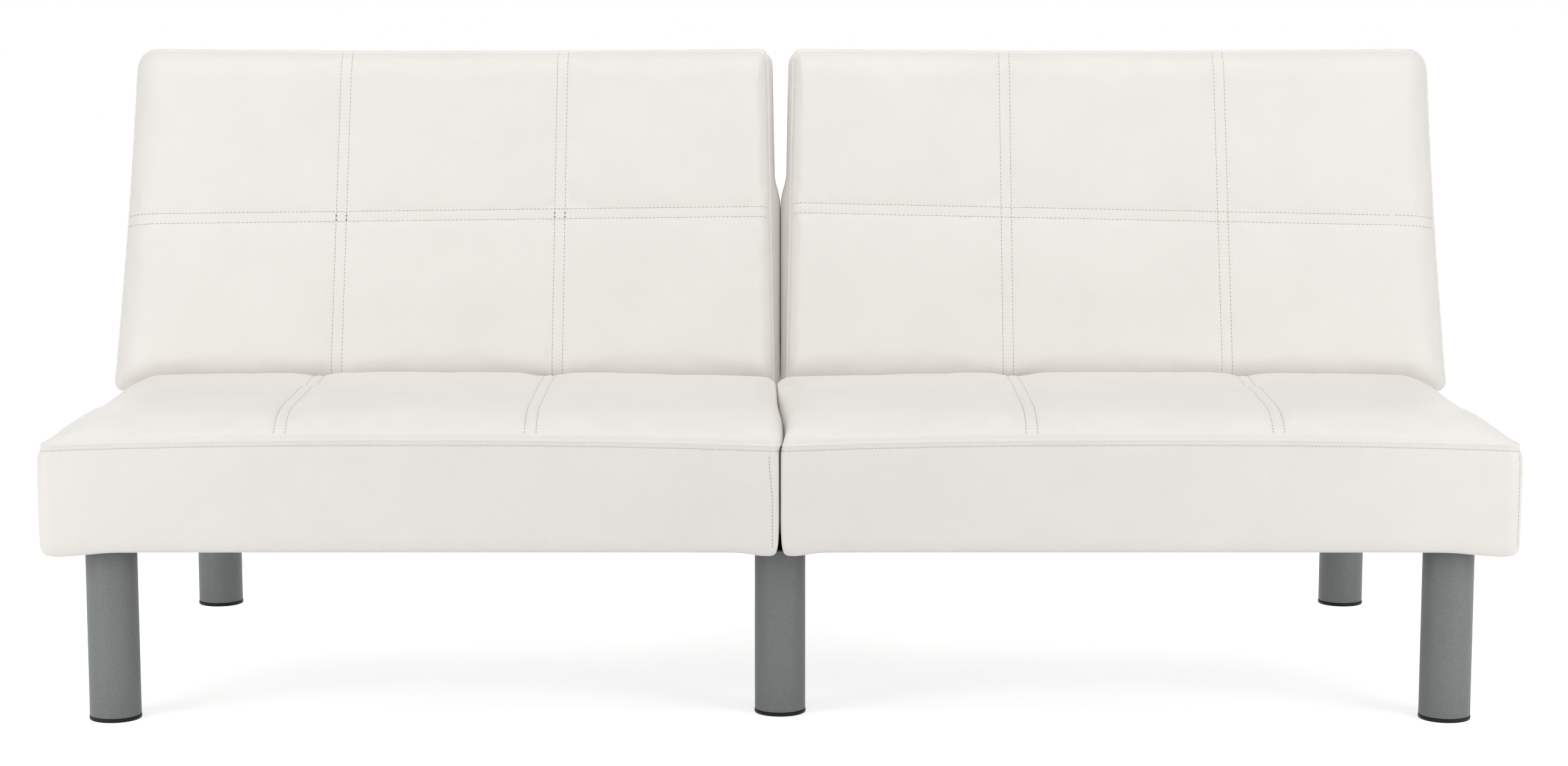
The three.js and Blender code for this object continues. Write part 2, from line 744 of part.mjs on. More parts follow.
// The toothed sector and the arm that carries a back.
function hingeArm() {
  const first = engageAngle - (clicksBack + clicksForward) * clickStep;
  const teeth = [[0, 0], spot(sectorRadius, first - sectorMargin)];
  for (let click = 0; click <= clicksBack + clicksForward; click++) {
    const middle = first + click * clickStep;
    teeth.push(spot(sectorRadius, middle - notchMouth / 2));
    teeth.push(spot(sectorRadius - toothDepth, middle - notchFloor / 2));
    teeth.push(spot(sectorRadius - toothDepth, middle + notchFloor / 2));
    teeth.push(spot(sectorRadius, middle + notchMouth / 2));
  }
  teeth.push(spot(sectorRadius, engageAngle + sectorMargin));
  const wall = pivotBehindSeat + backUndercut - seatedGap;
  const top = -armFlangeTop;
  const bottom = top - flangeHeight;
  const web = outline([
    [-bossRadius, 0],
    [-bossRadius / 2, -sectorRadius / 2],
    [wall - flangeThickness, bottom],
    [wall, bottom],
    [wall, top],
    [wall - flangeThickness, top],
    [bossRadius, -bossRadius / 2],
    [bossRadius, 0],
  ]);
  const thickness = sectorPlate + armPlate;
  const flange = box([armFrom, wall - flangeThickness, bottom], [armTo + flangeReach, wall, top]);
  const solids = [
    solidOf(sidePlate(outline(teeth), sectorPlate).translate(sectorFrom, 0, 0)),
    solidOf(sidePlate(web, armPlate).translate(armFrom, 0, 0)),
    solidOf(crossBar(bossRadius, thickness, boreSides, 0, 0, sectorFrom)),
    solidOf(flange),
  ];
  for (const share of boltShares) {
    const head = new THREE.CylinderGeometry(boltRadius, boltRadius, boltHead * 2, boltSides);
    const z = bottom + share * flangeHeight;
    solids.push(solidOf(head.translate(armTo + flangeReach / 2, wall - flangeThickness, z)));
  }
  const reach = thickness + 2 * overrun;
  const bore = crossBar(rivetRadius + rivetPlay, reach, boreSides, 0, 0, sectorFrom - overrun);
  const beyondWall = box(
    [armFrom - overrun, wall, bottom - overrun],
    [armTo + flangeReach + overrun, wall + flangeThickness + overrun, top + overrun],
  );
  return geometryOf(join(solids).subtract(solidOf(bore)).subtract(solidOf(beyondWall)));
}

// The pawl, drawn about its own pin as it sits in a notch.
function hingePawl() {
  const [pawlY, pawlZ] = pawlPivot;
  const play = (pawlPlay / sectorRadius) * (180 / Math.PI);
  const tip = sectorRadius - toothDepth + pawlPlay;
  const foot = sectorRadius + pawlClear;
  const back = foot + pawlBack;
  const tipHalf = notchFloor / 2 - play;
  const footHalf = notchMouth / 2 - play;
  const lever = outline([
    spot(tip, engageAngle - tipHalf),
    spot(tip, engageAngle + tipHalf),
    spot(foot, engageAngle + footHalf),
    spot(back, engageAngle + footHalf),
    [pawlY + pawlBoss, pawlZ],
    [pawlY - pawlBoss, pawlZ],
    spot(foot, engageAngle - footHalf),
  ]);
  const thickness = sectorPlate - slideGap;
  const bore = crossBar(
    pawlPinRadius + pawlPinPlay,
    thickness + 2 * overrun,
    boreSides,
    pawlY,
    pawlZ,
    -overrun,
  );
  const solids = [
    solidOf(sidePlate(lever, thickness)),
    solidOf(crossBar(pawlBoss, thickness, boreSides, pawlY, pawlZ, 0)),
  ];
  return geometryOf(join(solids).subtract(solidOf(bore)))
    .translate(sectorFrom, -pawlY, -pawlZ)
    .rotateX(radians(-pawlLift));
}

function hingePieces(name) {
  const plate = piece("hinge_plate_" + name, hingePlate(), "zinc");
  const pawl = piece("hinge_pawl_" + name, hingePawl(), "zinc");
  pawl.position.set(0, ...pawlPivot);
  return [plate, pawl];
}

// Underframe and legs

function beam() {
  const half = beamWidth / 2;
  const hole = new THREE.Path();
  const inner = half - beamWall;
  const shape = new THREE.Shape();
  shape.moveTo(-half, 0);
  shape.lineTo(half, 0);
  shape.lineTo(half, beamHeight);
  shape.lineTo(-half, beamHeight);
  hole.moveTo(-inner, beamWall);
  hole.lineTo(-inner, beamHeight - beamWall);
  hole.lineTo(inner, beamHeight - beamWall);
  hole.lineTo(inner, beamWall);
  shape.holes.push(hole);
  const front = railFront + railThickness + seatedGap;
  const options = { depth: beamReach - front, bevelEnabled: false };
  return new THREE.ExtrudeGeometry(shape, options)
    .rotateX(Math.PI / 2)
    .translate(0, beamReach, beamBottom);
}

function crossRail() {
  const rear = crossRailDepth;
  const top = beamHeight + crossRailRise;
  const shape = new THREE.Shape();
  shape.moveTo(0, 0);
  shape.lineTo(rear, 0);
  shape.lineTo(rear, top);
  shape.lineTo(0, top);
  const hole = new THREE.Path();
  hole.moveTo(beamWall, beamWall);
  hole.lineTo(beamWall, top - beamWall);
  hole.lineTo(rear - beamWall, top - beamWall);
  hole.lineTo(rear - beamWall, beamWall);
  shape.holes.push(hole);
  const reach = 2 * legX + beamWidth;
  return sidePlate(shape, reach).translate(-reach / 2, beamReach + seatedGap, beamBottom);
}

function lathed(profile) {
  const points = profile.map(([radius, z]) => new THREE.Vector2(radius, z));
  return new THREE.LatheGeometry(points, legSides).rotateX(Math.PI / 2);
}

function legTube() {
  const top = beamBottom - seatedGap;
  const bottom = capBand + seatedGap;
  const inner = legRadius - legWall;
  return lathed([
    [0, top - legTopPlate],
    [inner, top - legTopPlate],
    [inner, bottom],
    [legRadius, bottom],
    [legRadius, top],
    [0, top],
  ]);
}

function footCap() {
  const rim = legRadius + capProud;
  const spigot = legRadius - legWall - seatedGap;
  return lathed([
    [0, 0],
    [rim - capChamfer, 0],
    [rim, capChamfer],
    [rim, capBand],
    [spigot, capBand],
    [spigot, capBand + capSpigot],
    [0, capBand + capSpigot],
  ]);
}

// Assembly

const sofa = new THREE.Group();

const beamNames = ["left", "middle", "right"];
beamPlaces.forEach((x, i) => {
  const bar = piece("beam_" + beamNames[i], beam(), "beamPaint");
  bar.position.x = x;
  sofa.add(bar);
  const legY = { front: x ? frontLegY : middleLegY, rear: rearLegY };
  for (const [place, y] of Object.entries(legY)) {
    const leg = piece("leg_" + place + "_" + beamNames[i], legTube(), "legPaint");
    const cap = piece("foot_cap_" + place + "_" + beamNames[i], footCap(), "plastic");
    leg.position.set(x, y, 0);
    cap.position.set(x, y, 0);
    sofa.add(leg, cap);
  }
});
sofa.add(piece("rear_cross_rail", crossRail(), "beamPaint"));

for (const [side, direction] of [["left", -1], ["right", 1]]) {
  const half = new THREE.Group();
  half.scale.x = direction;
  half.add(...seatPieces(side));

  const back = new THREE.Group();
  back.position.set(0, pivotY, pivotZ);
  back.rotation.x = radians(restAngle);
  back.add(...backPieces(side));
  half.add(back);

  for (const [place, x] of [["inner", hingeInnerX], ["outer", hingeOuterX]]) {
    const hinge = new THREE.Group();
    hinge.position.set(x, pivotY, pivotZ);
    hinge.add(...hingePieces(side + "_" + place));
    half.add(hinge);
    const arm = piece("hinge_arm_" + side + "_" + place, hingeArm(), "zinc");
    arm.position.x = x;
    back.add(arm);
  }
  sofa.add(half);
}

// The origin is on the floor, at the middle of the sofa's outline seen from above.
const bounds = new THREE.Box3().setFromObject(sofa);
sofa.position.y = -(bounds.min.y + bounds.max.y) / 2;

export default sofa;
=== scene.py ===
# %% [markdown]
# # A click clack sofa bed
# The sofa has two halves, each a padded seat and a padded back that turns down until it
# lies flat, on six round steel legs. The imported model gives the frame: every rail, beam
# and hinge already lies at its real place, in metres, with the sofa looking towards -Y.
# This lesson sews the leather cushions anew around it, turns the legs finer, and gives
# every part a finish.

# %% Load the frame
import math

import bmesh
import bpy
import numpy as np
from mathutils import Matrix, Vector
from mathutils.bvhtree import BVHTree


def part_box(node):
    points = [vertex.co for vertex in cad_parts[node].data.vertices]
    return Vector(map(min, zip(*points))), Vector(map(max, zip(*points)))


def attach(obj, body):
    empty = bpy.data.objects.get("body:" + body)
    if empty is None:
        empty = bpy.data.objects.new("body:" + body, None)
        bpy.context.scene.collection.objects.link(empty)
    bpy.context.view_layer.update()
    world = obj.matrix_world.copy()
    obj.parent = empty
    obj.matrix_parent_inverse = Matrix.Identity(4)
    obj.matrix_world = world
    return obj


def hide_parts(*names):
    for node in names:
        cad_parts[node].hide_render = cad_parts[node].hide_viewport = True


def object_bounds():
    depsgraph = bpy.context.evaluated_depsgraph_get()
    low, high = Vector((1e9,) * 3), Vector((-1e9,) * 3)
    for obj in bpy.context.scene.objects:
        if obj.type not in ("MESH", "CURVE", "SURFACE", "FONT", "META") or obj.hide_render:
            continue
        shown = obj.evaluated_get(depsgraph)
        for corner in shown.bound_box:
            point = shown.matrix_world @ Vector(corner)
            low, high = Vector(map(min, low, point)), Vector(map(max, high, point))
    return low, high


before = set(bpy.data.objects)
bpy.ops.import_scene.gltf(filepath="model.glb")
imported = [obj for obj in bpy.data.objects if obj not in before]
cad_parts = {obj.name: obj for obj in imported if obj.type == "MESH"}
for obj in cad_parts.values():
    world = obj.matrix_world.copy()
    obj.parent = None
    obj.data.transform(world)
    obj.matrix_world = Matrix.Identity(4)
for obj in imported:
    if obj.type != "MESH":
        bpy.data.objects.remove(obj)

cad_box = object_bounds()
scene = bpy.context.scene

# %% [markdown]
# ## The camera
# The lens is long and stands a few metres away, a little above the seat, so that uprights
# stay nearly parallel.

# %% Camera
CAMERA_PLACE = (0.005, -4.0957, 0.9039)
CAMERA_DOWN = 7.35  # degrees below level
CAMERA_LENS = 70.25  # mm, on a picture 36 mm wide
lens = bpy.data.cameras.new("camera")
lens.lens = CAMERA_LENS
lens.sensor_width = 36.0
lens.clip_end = 60.0
camera = bpy.data.objects.new("camera", lens)
camera.location = CAMERA_PLACE
camera.rotation_euler = (math.radians(90 - CAMERA_DOWN), 0, 0)
scene.collection.objects.link(camera)
scene.camera = camera

# %% [markdown]
# ## Small helpers for meshes and materials
# Cushions, stitches and legs are made from arrays of points, because a seam that is worked
# out in numbers stays where it belongs. The helpers give the faces between such points.

# %% Mesh helpers
def mesh_piece(name, points, faces, smooth=True):
    data = bpy.data.meshes.new(name)
    data.from_pydata([tuple(p) for p in points], [], [tuple(f) for f in faces])
    data.validate()
    data.polygons.foreach_set("use_smooth", [smooth] * len(data.polygons))
    made = bpy.data.objects.new(name, data)
    scene.collection.objects.link(made)
    return made


def grid_faces(n_x, n_y):
    """The faces of a grid of points, and its border in order."""
    index = np.arange(n_x * n_y).reshape(n_x, n_y)
    faces = [
        (index[i, j], index[i + 1, j], index[i + 1, j + 1], index[i, j + 1])
        for i in range(n_x - 1) for j in range(n_y - 1)
    ]
    return faces, [*index[:, 0], *index[-1, 1:], *index[-2::-1, -1], *index[0, -2:0:-1]]


def ring_faces(above, below):
    after = np.roll(np.arange(len(above)), -1)
    return [(below[k], below[m], above[m], above[k]) for k, m in enumerate(after)]


def add_rings(points, faces, border, rings):
    """Hang rings of points under a grid's border, each joined to the one above it."""
    above, start = border, len(points[0])
    for ring in rings:
        points.append(np.stack(ring, -1))
        below = list(range(start, start + len(border)))
        faces += ring_faces(above, below)
        above, start = below, start + len(border)


def tube_faces(rings, sides):
    """The faces round a tube of equal rings that follow each other, and its two ends."""
    loops = [list(range(r * sides, (r + 1) * sides)) for r in range(rings)]
    faces = [f for low, high in zip(loops, loops[1:]) for f in ring_faces(high, low)]
    return faces + [tuple(loops[0])[::-1], tuple(loops[-1])]


def round_about(sides):
    """Cosines and sines of even turns."""
    turns = [2 * math.pi * s / sides for s in range(sides)]
    return [(math.cos(turn), math.sin(turn)) for turn in turns]


def joined(parts):
    points, faces, start = [], [], 0
    for some, shapes in parts:
        points.append(some)
        faces += [tuple(v + start for v in f) for f in shapes]
        start += len(some)
    return np.concatenate(points), faces


def vertex_values(mesh, what="co"):
    values = np.empty(len(mesh.vertices) * 3)
    mesh.vertices.foreach_get(what, values)
    return values.reshape(-1, 3)


def move_vertices(mesh, points):
    mesh.vertices.foreach_set("co", points.reshape(-1))
    mesh.update()


# %% [markdown]
# Every finish is made in space, since image textures would need a flat pattern for every
# panel. Its colour runs between two tones over a pattern, the same or a second pattern
# drives the bump, and where the gloss varies, a third one drives the roughness.

# %% Material helpers
def linear(*screen):
    """The renderer's colour for a screen's values from 0 to 255."""
    parts = [value / 255 for value in screen]
    return (*(v / 12.92 if v <= 0.04045 else ((v + 0.055) / 1.055) ** 2.4 for v in parts), 1.0)


def new_finish(name, color, roughness, **sockets):
    finish = bpy.data.materials.new(name)
    finish.use_nodes = True
    shader = finish.node_tree.nodes["Principled BSDF"]
    shader.inputs["Base Color"].default_value = color
    shader.inputs["Roughness"].default_value = roughness
    for socket, value in sockets.items():
        shader.inputs[socket.replace("_", " ")].default_value = value
    return finish, finish.node_tree, shader


def add_node(tree, kind, **settings):
    node = tree.nodes.new("ShaderNode" + kind)
    for key, value in settings.items():
        name = key.replace("_", " ")
        if name in node.inputs:
            node.inputs[name].default_value = value
        else:
            setattr(node, key, value)
    return node


def add_pattern(tree, spots, kind="Noise", output="Fac", **settings):
    pattern = add_node(tree, "Tex" + kind, **settings)
    tree.links.new(spots, pattern.inputs["Vector"])
    return pattern.outputs[output]


def add_bump(tree, height, amount, target):
    strength, distance = amount
    bump = add_node(tree, "Bump", Strength=strength, Distance=distance)
    tree.links.new(height, bump.inputs["Height"])
    tree.links.new(bump.outputs["Normal"], target.inputs["Normal"])
    return bump


def patterned(made, tones, pattern, stops=(0.0, 1.0), stretch=None, bump=None, relief=None,
              gloss=None):
    """Colour a new finish by a pattern: its two tones, and the stops where they stand."""
    finish, tree, shader = made
    spots = add_node(tree, "TexCoord").outputs["Object"]
    if stretch:
        mapping = add_node(tree, "Mapping", Scale=stretch)
        tree.links.new(spots, mapping.inputs["Vector"])
        spots = mapping.outputs["Vector"]
    height = add_pattern(tree, spots, **pattern)
    ramp = add_node(tree, "ValToRGB")
    for stop, place, tone in zip(ramp.color_ramp.elements, stops, tones):
        stop.position = place
        stop.color = tone
    tree.links.new(height, ramp.inputs["Fac"])
    tree.links.new(ramp.outputs["Color"], shader.inputs["Base Color"])
    if relief:
        height = add_pattern(tree, spots, **relief)
    if bump:
        add_bump(tree, height, bump, shader)
    if gloss:
        low, high, gloss_pattern = gloss
        span = add_node(tree, "MapRange", To_Min=low, To_Max=high)
        tree.links.new(add_pattern(tree, spots, **gloss_pattern), span.inputs["Value"])
        tree.links.new(span.outputs["Result"], shader.inputs["Roughness"])
    return finish


def wear_finish(obj, finish):
    obj.data.materials.clear()
    obj.data.materials.append(finish)


# %% [markdown]
# ## Ivory faux leather
# Faux leather is a vinyl skin that is embossed with a pebble grain, about a millimetre from
# grain to grain, and very even in colour. A Voronoi pattern bent by a little noise gives
# the grain, a broad noise the faint mottle, and a third one varies the gloss.

# %% Leather
IVORY = linear(237, 234, 229)
made = new_finish("ivory_leather", IVORY, 0.46, Specular_IOR_Level=0.42, Coat_Weight=0.06,
                  Coat_Roughness=0.38, Sheen_Weight=0.05, Sheen_Roughness=0.5)
leather = patterned(made, (linear(234, 231, 226), IVORY),
                    dict(Scale=9.0, Detail=5.0, Roughness=0.6), stops=(0.3, 0.62),
                    gloss=(0.41, 0.53, dict(Scale=14.0, Detail=3.0)))
_, tree, shader = made
spots = add_node(tree, "TexCoord").outputs["Object"]
wander = add_pattern(tree, spots, output="Color", Scale=260.0, Detail=2.0)
bent = add_node(tree, "MixRGB", blend_type="LINEAR_LIGHT", Fac=0.0012)
tree.links.new(spots, bent.inputs["Color1"])
tree.links.new(wander, bent.inputs["Color2"])
pebbles = add_pattern(tree, bent.outputs["Color"], "Voronoi", "Distance",
                      feature="SMOOTH_F1", Scale=820.0)
grain = add_bump(tree, pebbles, (0.3, 0.00045), shader)
folds = add_pattern(tree, spots, Scale=48.0, Detail=5.0, Roughness=0.62)
add_bump(tree, folds, (0.22, 0.0014), grain)

# %% [markdown]
# ## Thread and needle holes
# The rows are sewn with a thick dull thread that is a little greyer than the leather. Its
# twist shows as a fine slanted wave, and between the stitches are small needle holes, whose
# dark colour is painted shade inside the holes.

# %% Thread
def dull_finish(name, dark, light):
    return patterned(new_finish(name, light, 0.8), (dark, light), dict(Scale=300.0))


TWIST = dict(kind="Wave", bands_direction="DIAGONAL", Scale=420.0, Distortion=1.5)
thread = patterned(new_finish("sewing_thread", linear(230, 229, 222), 0.62),
                   (linear(220, 219, 211), linear(233, 232, 226)), TWIST,
                   bump=(0.4, 0.0002))
# The needle holes' dark tones are painted shade: the shade that falls inside each hole.
needle_hole_shade = dull_finish("needle_hole_shade", linear(126, 120, 110), linear(156, 150, 140))
knot_thread = dull_finish("knot_thread", linear(84, 90, 100), linear(112, 118, 128))

# %% [markdown]
# ## The shape of a cushion
# A seat and a back are the same kind of thing: a box of foam under quilted wadding, in a
# sewn cover. Each is drawn lying flat, with x from the inner side outwards and y from the
# free edge to the edge beside the hinges. The top is a grid of points whose height falls
# in a curve towards every side. Its lines follow the rows of stitches, so that these can
# be held still while cloth is blown up between them.

# %% Sizes shared with the frame, in metres
MM = 0.001


def mm(*values):
    return [value * MM for value in values]


HALF_WIDTH = 904.75 * MM
INNER_X = 1.25 * MM  # from the middle plane to the drawn inner side of each half
STITCH_SPREAD = 7 * MM  # from a channel's middle to each of its two rows


def rolled(distance, width, power, root):
    left = 1 - np.clip(distance / width, 0, 1)
    return np.clip(1 - left ** power, 0, 1) ** (1 / root)


def smooth(value, low, high):
    t = np.clip((value - low) / (high - low), 0, 1)
    return t * t * (3 - 2 * t)


def between(value, start, full, fade, end):
    """One from full to fade, and nought outside start and end."""
    return smooth(value, start, full) * (1 - smooth(value, fade, end))


# %% The two kinds of cushion
# Corners are radii: inner free, inner beside the hinges, outer free, outer beside the hinges.
# A roll is the width over which a side falls, and the two powers of its curve.
SEAT = dict(
    kind="seat", length=449 * MM, depth=129 * MM, crown=40 * MM, seam_rise=7 * MM,
    corners=mm(7, 7, 20, 20),
    free_roll=(100 * MM, 2.0, 2.0), outer_roll=(70 * MM, 1.5, 1.05),
    inner_roll=(15 * MM, 2.0, 2.0), hinge_roll=(36 * MM, 1.5, 1.5),
    undercut=mm(36, 25), rear_inset=2 * MM, taper=0.0, cross=False,
    cavity=37.4 * MM,
)
BACK = dict(
    kind="back", length=485 * MM, depth=95 * MM, crown=33 * MM, seam_rise=5 * MM,
    corners=mm(16, 4, 32, 14),
    free_roll=(46 * MM, 2.0, 2.0), outer_roll=(50 * MM, 2.0, 2.0),
    inner_roll=(20 * MM, 2.0, 2.0), hinge_roll=(36 * MM, 1.5, 1.5),
    undercut=mm(35, 47), rear_inset=8 * MM, taper=9.5 * MM, cross=True,
    cavity=28.4 * MM,
)

# %% Where the channels run
# Each pair gives a channel's place from the inner side at the free edge, and how far it
# leans outwards on its way to the hinges.
CHANNELS = {
    ("seat", "left"): (mm(301.5, 8), mm(606, 13)),
    ("seat", "right"): (mm(304.5, 7), mm(604, 17)),
    ("back", "left"): (mm(298.5, 2), mm(596, 3)),
    ("back", "right"): (mm(307, 0), mm(602, 1)),
}
# The cross row of a back slopes a little: its place from the top, and its fall per metre.
CROSS_ROWS = {"left": (239.3 * MM, 0.0123), "right": (234.1 * MM, 0.0213)}
CHANNEL_DEPTH = {"seat": 3.2 * MM, "back": 1.3 * MM}
CHANNEL_REACH = 58 * MM
CHANNEL_MIDDLE = 0.55  # of its depth, between the two rows


def channel_place(spec, side, which, y):
    start, lean = CHANNELS[spec["kind"], side][which]
    return start + lean * y / spec["length"]


def cross_place(side, x):
    start, fall = CROSS_ROWS[side]
    return start + fall * x


def row_distances(spec, side, x, y):
    """How far points lie from the middles of the two channels and of the cross row."""
    away = [np.abs(x - channel_place(spec, side, which, y)) for which in (0, 1)]
    if spec["cross"]:
        away.append(np.abs(y - cross_place(side, x)))
    return away


def groove(distance):
    middle = CHANNEL_MIDDLE + (1 - CHANNEL_MIDDLE) * (distance / STITCH_SPREAD) ** 2
    beyond = (1 - np.clip((distance - STITCH_SPREAD) / CHANNEL_REACH, 0, 1)) ** 2.6
    return np.where(distance < STITCH_SPREAD, middle, beyond)


# %% [markdown]
# ## The top panel
# Wadding is thickest in the middle of a panel, so the leather rises from a row of stitches
# at once and then levels off. The seats also have a long low wave in front of the crease,
# where the leather is pushed together while the back is up.

# %% Height of the padded top
EDGE_ZONE = 110 * MM
DRAW_IN = 3 * MM
SEAM_INSET = 2.8 * MM
CREASE_WAVE = (0.318, 0.026, 4.6 * MM)  # its place, width and depth
CREASE_DROP = 2.6 * MM  # of all that lies behind the wave


def top_height(spec, side, x, y):
    width, length = HALF_WIDTH, spec["length"]
    fullness = (
        rolled(x, *spec["inner_roll"])
        * rolled(width - x, *spec["outer_roll"])
        * rolled(y, *spec["free_roll"])
        * rolled(length - y, *spec["hinge_roll"])
    )
    sunk = np.zeros_like(x)
    for away in row_distances(spec, side, x, y):
        sunk = 1 - (1 - sunk) * (1 - groove(away))
    height = spec["seam_rise"] + (spec["crown"] - spec["seam_rise"]) * fullness
    height -= CHANNEL_DEPTH[spec["kind"]] * sunk * fullness
    if spec["kind"] == "seat":
        place, wide, deep = CREASE_WAVE
        wave = np.exp(-(((y - place) / wide) ** 2))
        height -= deep * wave * between(x, 0.30, 0.50, 0.78, 0.88)
        height -= CREASE_DROP * smooth(y, 0.30, 0.36) * fullness
    return height


def seam_lift(spec, x):
    """The seam of a seat bows up by 7 mm between its ends, which lie 3 mm low."""
    if spec["kind"] == "back":
        return np.zeros_like(x)
    return -3 * MM + 7 * MM * (1 - np.abs(2 * x / HALF_WIDTH - 1) ** 2.5)


# %% Plan of the cushion
def round_corners(spec, x, y):
    """Round the four corners; the two beside the other half are tighter."""
    inner_free, inner_hinge, outer_free, outer_hinge = spec["corners"]
    free = y < spec["length"] / 2
    radius = np.where(x < HALF_WIDTH / 2, np.where(free, inner_free, inner_hinge),
                      np.where(free, outer_free, outer_hinge))
    centre_x = np.clip(x, radius, HALF_WIDTH - radius)
    centre_y = np.clip(y, radius, spec["length"] - radius)
    a = (x - centre_x) / radius
    b = (y - centre_y) / radius
    return (centre_x + radius * a * np.sqrt(1 - b * b / 2),
            centre_y + radius * b * np.sqrt(1 - a * a / 2))


def boxing_at(spec, z):
    """How far a seam lies in from the inner and the outer side, so that the wall shows."""
    if spec["kind"] == "back":
        return 5.5 * MM * smooth(z, *mm(-9, -1)), 0.0
    return 0.0, 4.0 * MM * smooth(z, *mm(-11, 8))


HALF_GAP = 0.4 * MM  # left between an inner wall and the middle plane
HEM_INSIDE = 8 * MM  # levels that stand in further than this are inside the hem
CAVITY_INSET = 11.9 * MM  # and past this one they go up to the board


def lean_out(spec, inset, z, y):
    """How far the inner walls of the two halves press out until they nearly touch."""
    length = spec["length"]
    half_gap = HALF_GAP * (1 - 0.85 * smooth(y, 0.84 * length, 0.9 * length))
    free_way = inset + INNER_X - half_gap
    if spec["kind"] == "seat":
        deep = 1 - smooth(-z, *mm(95, 118))
        return free_way * deep * smooth(y, *mm(1, 14))
    deep = between(-z, *mm(6, 13, 78, 92))
    down = smooth(y, 0.36 * length, 0.44 * length)
    return (free_way + spec["taper"] * (1 - y / length)) * deep * down


def settle(spec, x, y, inset, tuck, z=0.0):
    """Move a level's points in from the sides, less and less towards the middle."""
    length = spec["length"]
    inner_boxing, outer_boxing = boxing_at(spec, z)
    pressed = 0.0 if inset > HEM_INSIDE else lean_out(spec, inset, z, y)

    def near(distance):
        return np.clip(1 - distance / EDGE_ZONE, 0, 1) ** 2

    side_in = inset + spec["taper"] * (1 - y / length)
    inner_in = side_in + inner_boxing - pressed
    outer_in = side_in + outer_boxing + DRAW_IN * np.sin(np.pi * y / length)
    free_in = inset + DRAW_IN * np.sin(np.pi * x / HALF_WIDTH)
    return (x + inner_in * near(x) - outer_in * near(HALF_WIDTH - x),
            y + free_in * near(y) - (inset + tuck) * near(length - y))


EDGE_MARKS = mm(1.2, 3, 6, 10, 15, 20, 26)
ROW_MARKS = mm(-26, -18, -12, -9, -7, -3.5, 0, 3.5, 7, 9, 12, 18, 26)
GRID_STEP = 10 * MM


def grid_stops(length, channels):
    """Places of the grid's lines: close together at the edges and the rows only."""
    marks = [0.0, length, *EDGE_MARKS, *(length - m for m in EDGE_MARKS)]
    marks += [middle + m for middle in channels for m in ROW_MARKS]
    fixed = sorted({float(m) for m in marks})
    found = []
    for low, high in zip(fixed, fixed[1:]):
        count = max(1, math.ceil((high - low) / GRID_STEP - 1e-6))
        found += [low + (high - low) * i / count for i in range(count)]
    return np.array(found + [float(length)])


# %% [markdown]
# ## The walls
# The top panel and the walls meet in a fine welt, and 5 to 7 mm below it a line of
# topstitching holds the turned-in edges down. The walls go down to a rolled hem, turn
# inside, and come up to the board under the foam. Each level is one ring of points, given
# by its height and how far it stands in.

# %% Levels of the walls, in millimetres
def wall_levels(spec):
    rise, depth = spec["seam_rise"] / MM, spec["depth"] / MM
    soft = spec["rear_inset"] / MM
    levels = [
        (rise + 1.0, 1.7), (rise + 0.4, 0.6), (rise - 1.0, 0.5), (rise - 1.9, 1.7),
        (2.2, 1.6), (0.9, 1.9), (0.0, 3.3), (-1.0, 2.1), (-3.5, 1.4), (-8, 1.1),
        (-15, 0.9), (-24, 0.6),
    ]
    count = 7 if spec["kind"] == "seat" else 4
    levels += [(-24 - (depth - 24 - 18) * i / count, 0.4 + 0.3 * (i > count - 2))
               for i in range(1, count + 1)]
    levels += [
        (-depth + 12, 0.5 + 0.3 * soft), (-depth + 7, 1.0 + 0.6 * soft),
        (-depth + 3, 2.4 + 0.7 * soft), (-depth + 0.7, 5.2 + 0.5 * soft),
        (-depth, 8.8 + 0.1 * soft), (-depth + 1.2, 11.4), (-depth + 4.5, 12.0),
        (-depth + 22, 12.0), (-spec["cavity"] / MM, 12.0),
    ]
    return [(z * MM, inset * MM) for z, inset in levels]


def tuck_at(spec, z):
    """How far the wall beside the hinges is cut in, to make room for them."""
    drop, undercut = spec["undercut"]
    return np.interp(-z, [0, 4 * MM, 12 * MM, drop, 1], [0, 0, 3 * MM, undercut, undercut])


# %% [markdown]
# The steel beams pass under the seats, so a seat's hem is cut up over them, at its inner
# side and at one place of its rear edge. In front, the hem hides the beams.

# %% Hem over the beams
BEAM_ROOM = 27 * MM
BEAM_SLOPE = 13 * MM
BEAM_PLACE = 828.75 * MM
HEM_OVER_BEAM = 22.8 * MM
HEM_START = 80 * MM
WALL_FADE = 70 * MM  # under the seam, the depth at which its bow has faded


def hem_cut(spec, x, y, z):
    if spec["kind"] == "back":
        return z
    length = spec["length"]

    def over(distance):
        return 1 - smooth(distance, BEAM_ROOM, BEAM_ROOM + BEAM_SLOPE)

    inner = over(x) * smooth(y, *mm(16, 34))
    rear = over(np.abs(x - BEAM_PLACE)) * smooth(y, length - 40 * MM, length - 21 * MM)
    cut = np.maximum(inner, rear)
    below = np.minimum(z + HEM_START, 0)
    return np.where(z < -HEM_START, -HEM_START + below * (
        1 - cut * HEM_OVER_BEAM / (spec["depth"] - HEM_START)), z)


def hem_droop(spec, x, y, z):
    """A seat's hem hangs a little lower in front, at either end."""
    if spec["kind"] == "back":
        return np.zeros_like(x)
    low = smooth(-z, *mm(70, 125)) * (1 - smooth(y, *mm(60, 160)))
    ends = 5 * MM * smooth(x, HALF_WIDTH - 0.10, HALF_WIDTH - 0.02)
    ends = ends + 4 * MM * (1 - smooth(x, 0.01, 0.05))
    return -ends * low


def seam_fading(z):
    return 1 - smooth(-z, 0.0, WALL_FADE)


# %% Put the cushion together
LEAN_FLAT = 0.03  # from a channel's middle, the grid goes along with it in full
ROW_HELD = 7.6 * MM  # from a channel's middle, the points that the cloth can't move
EDGE_HELD = [0, 1, 2, -3, -2, -1]


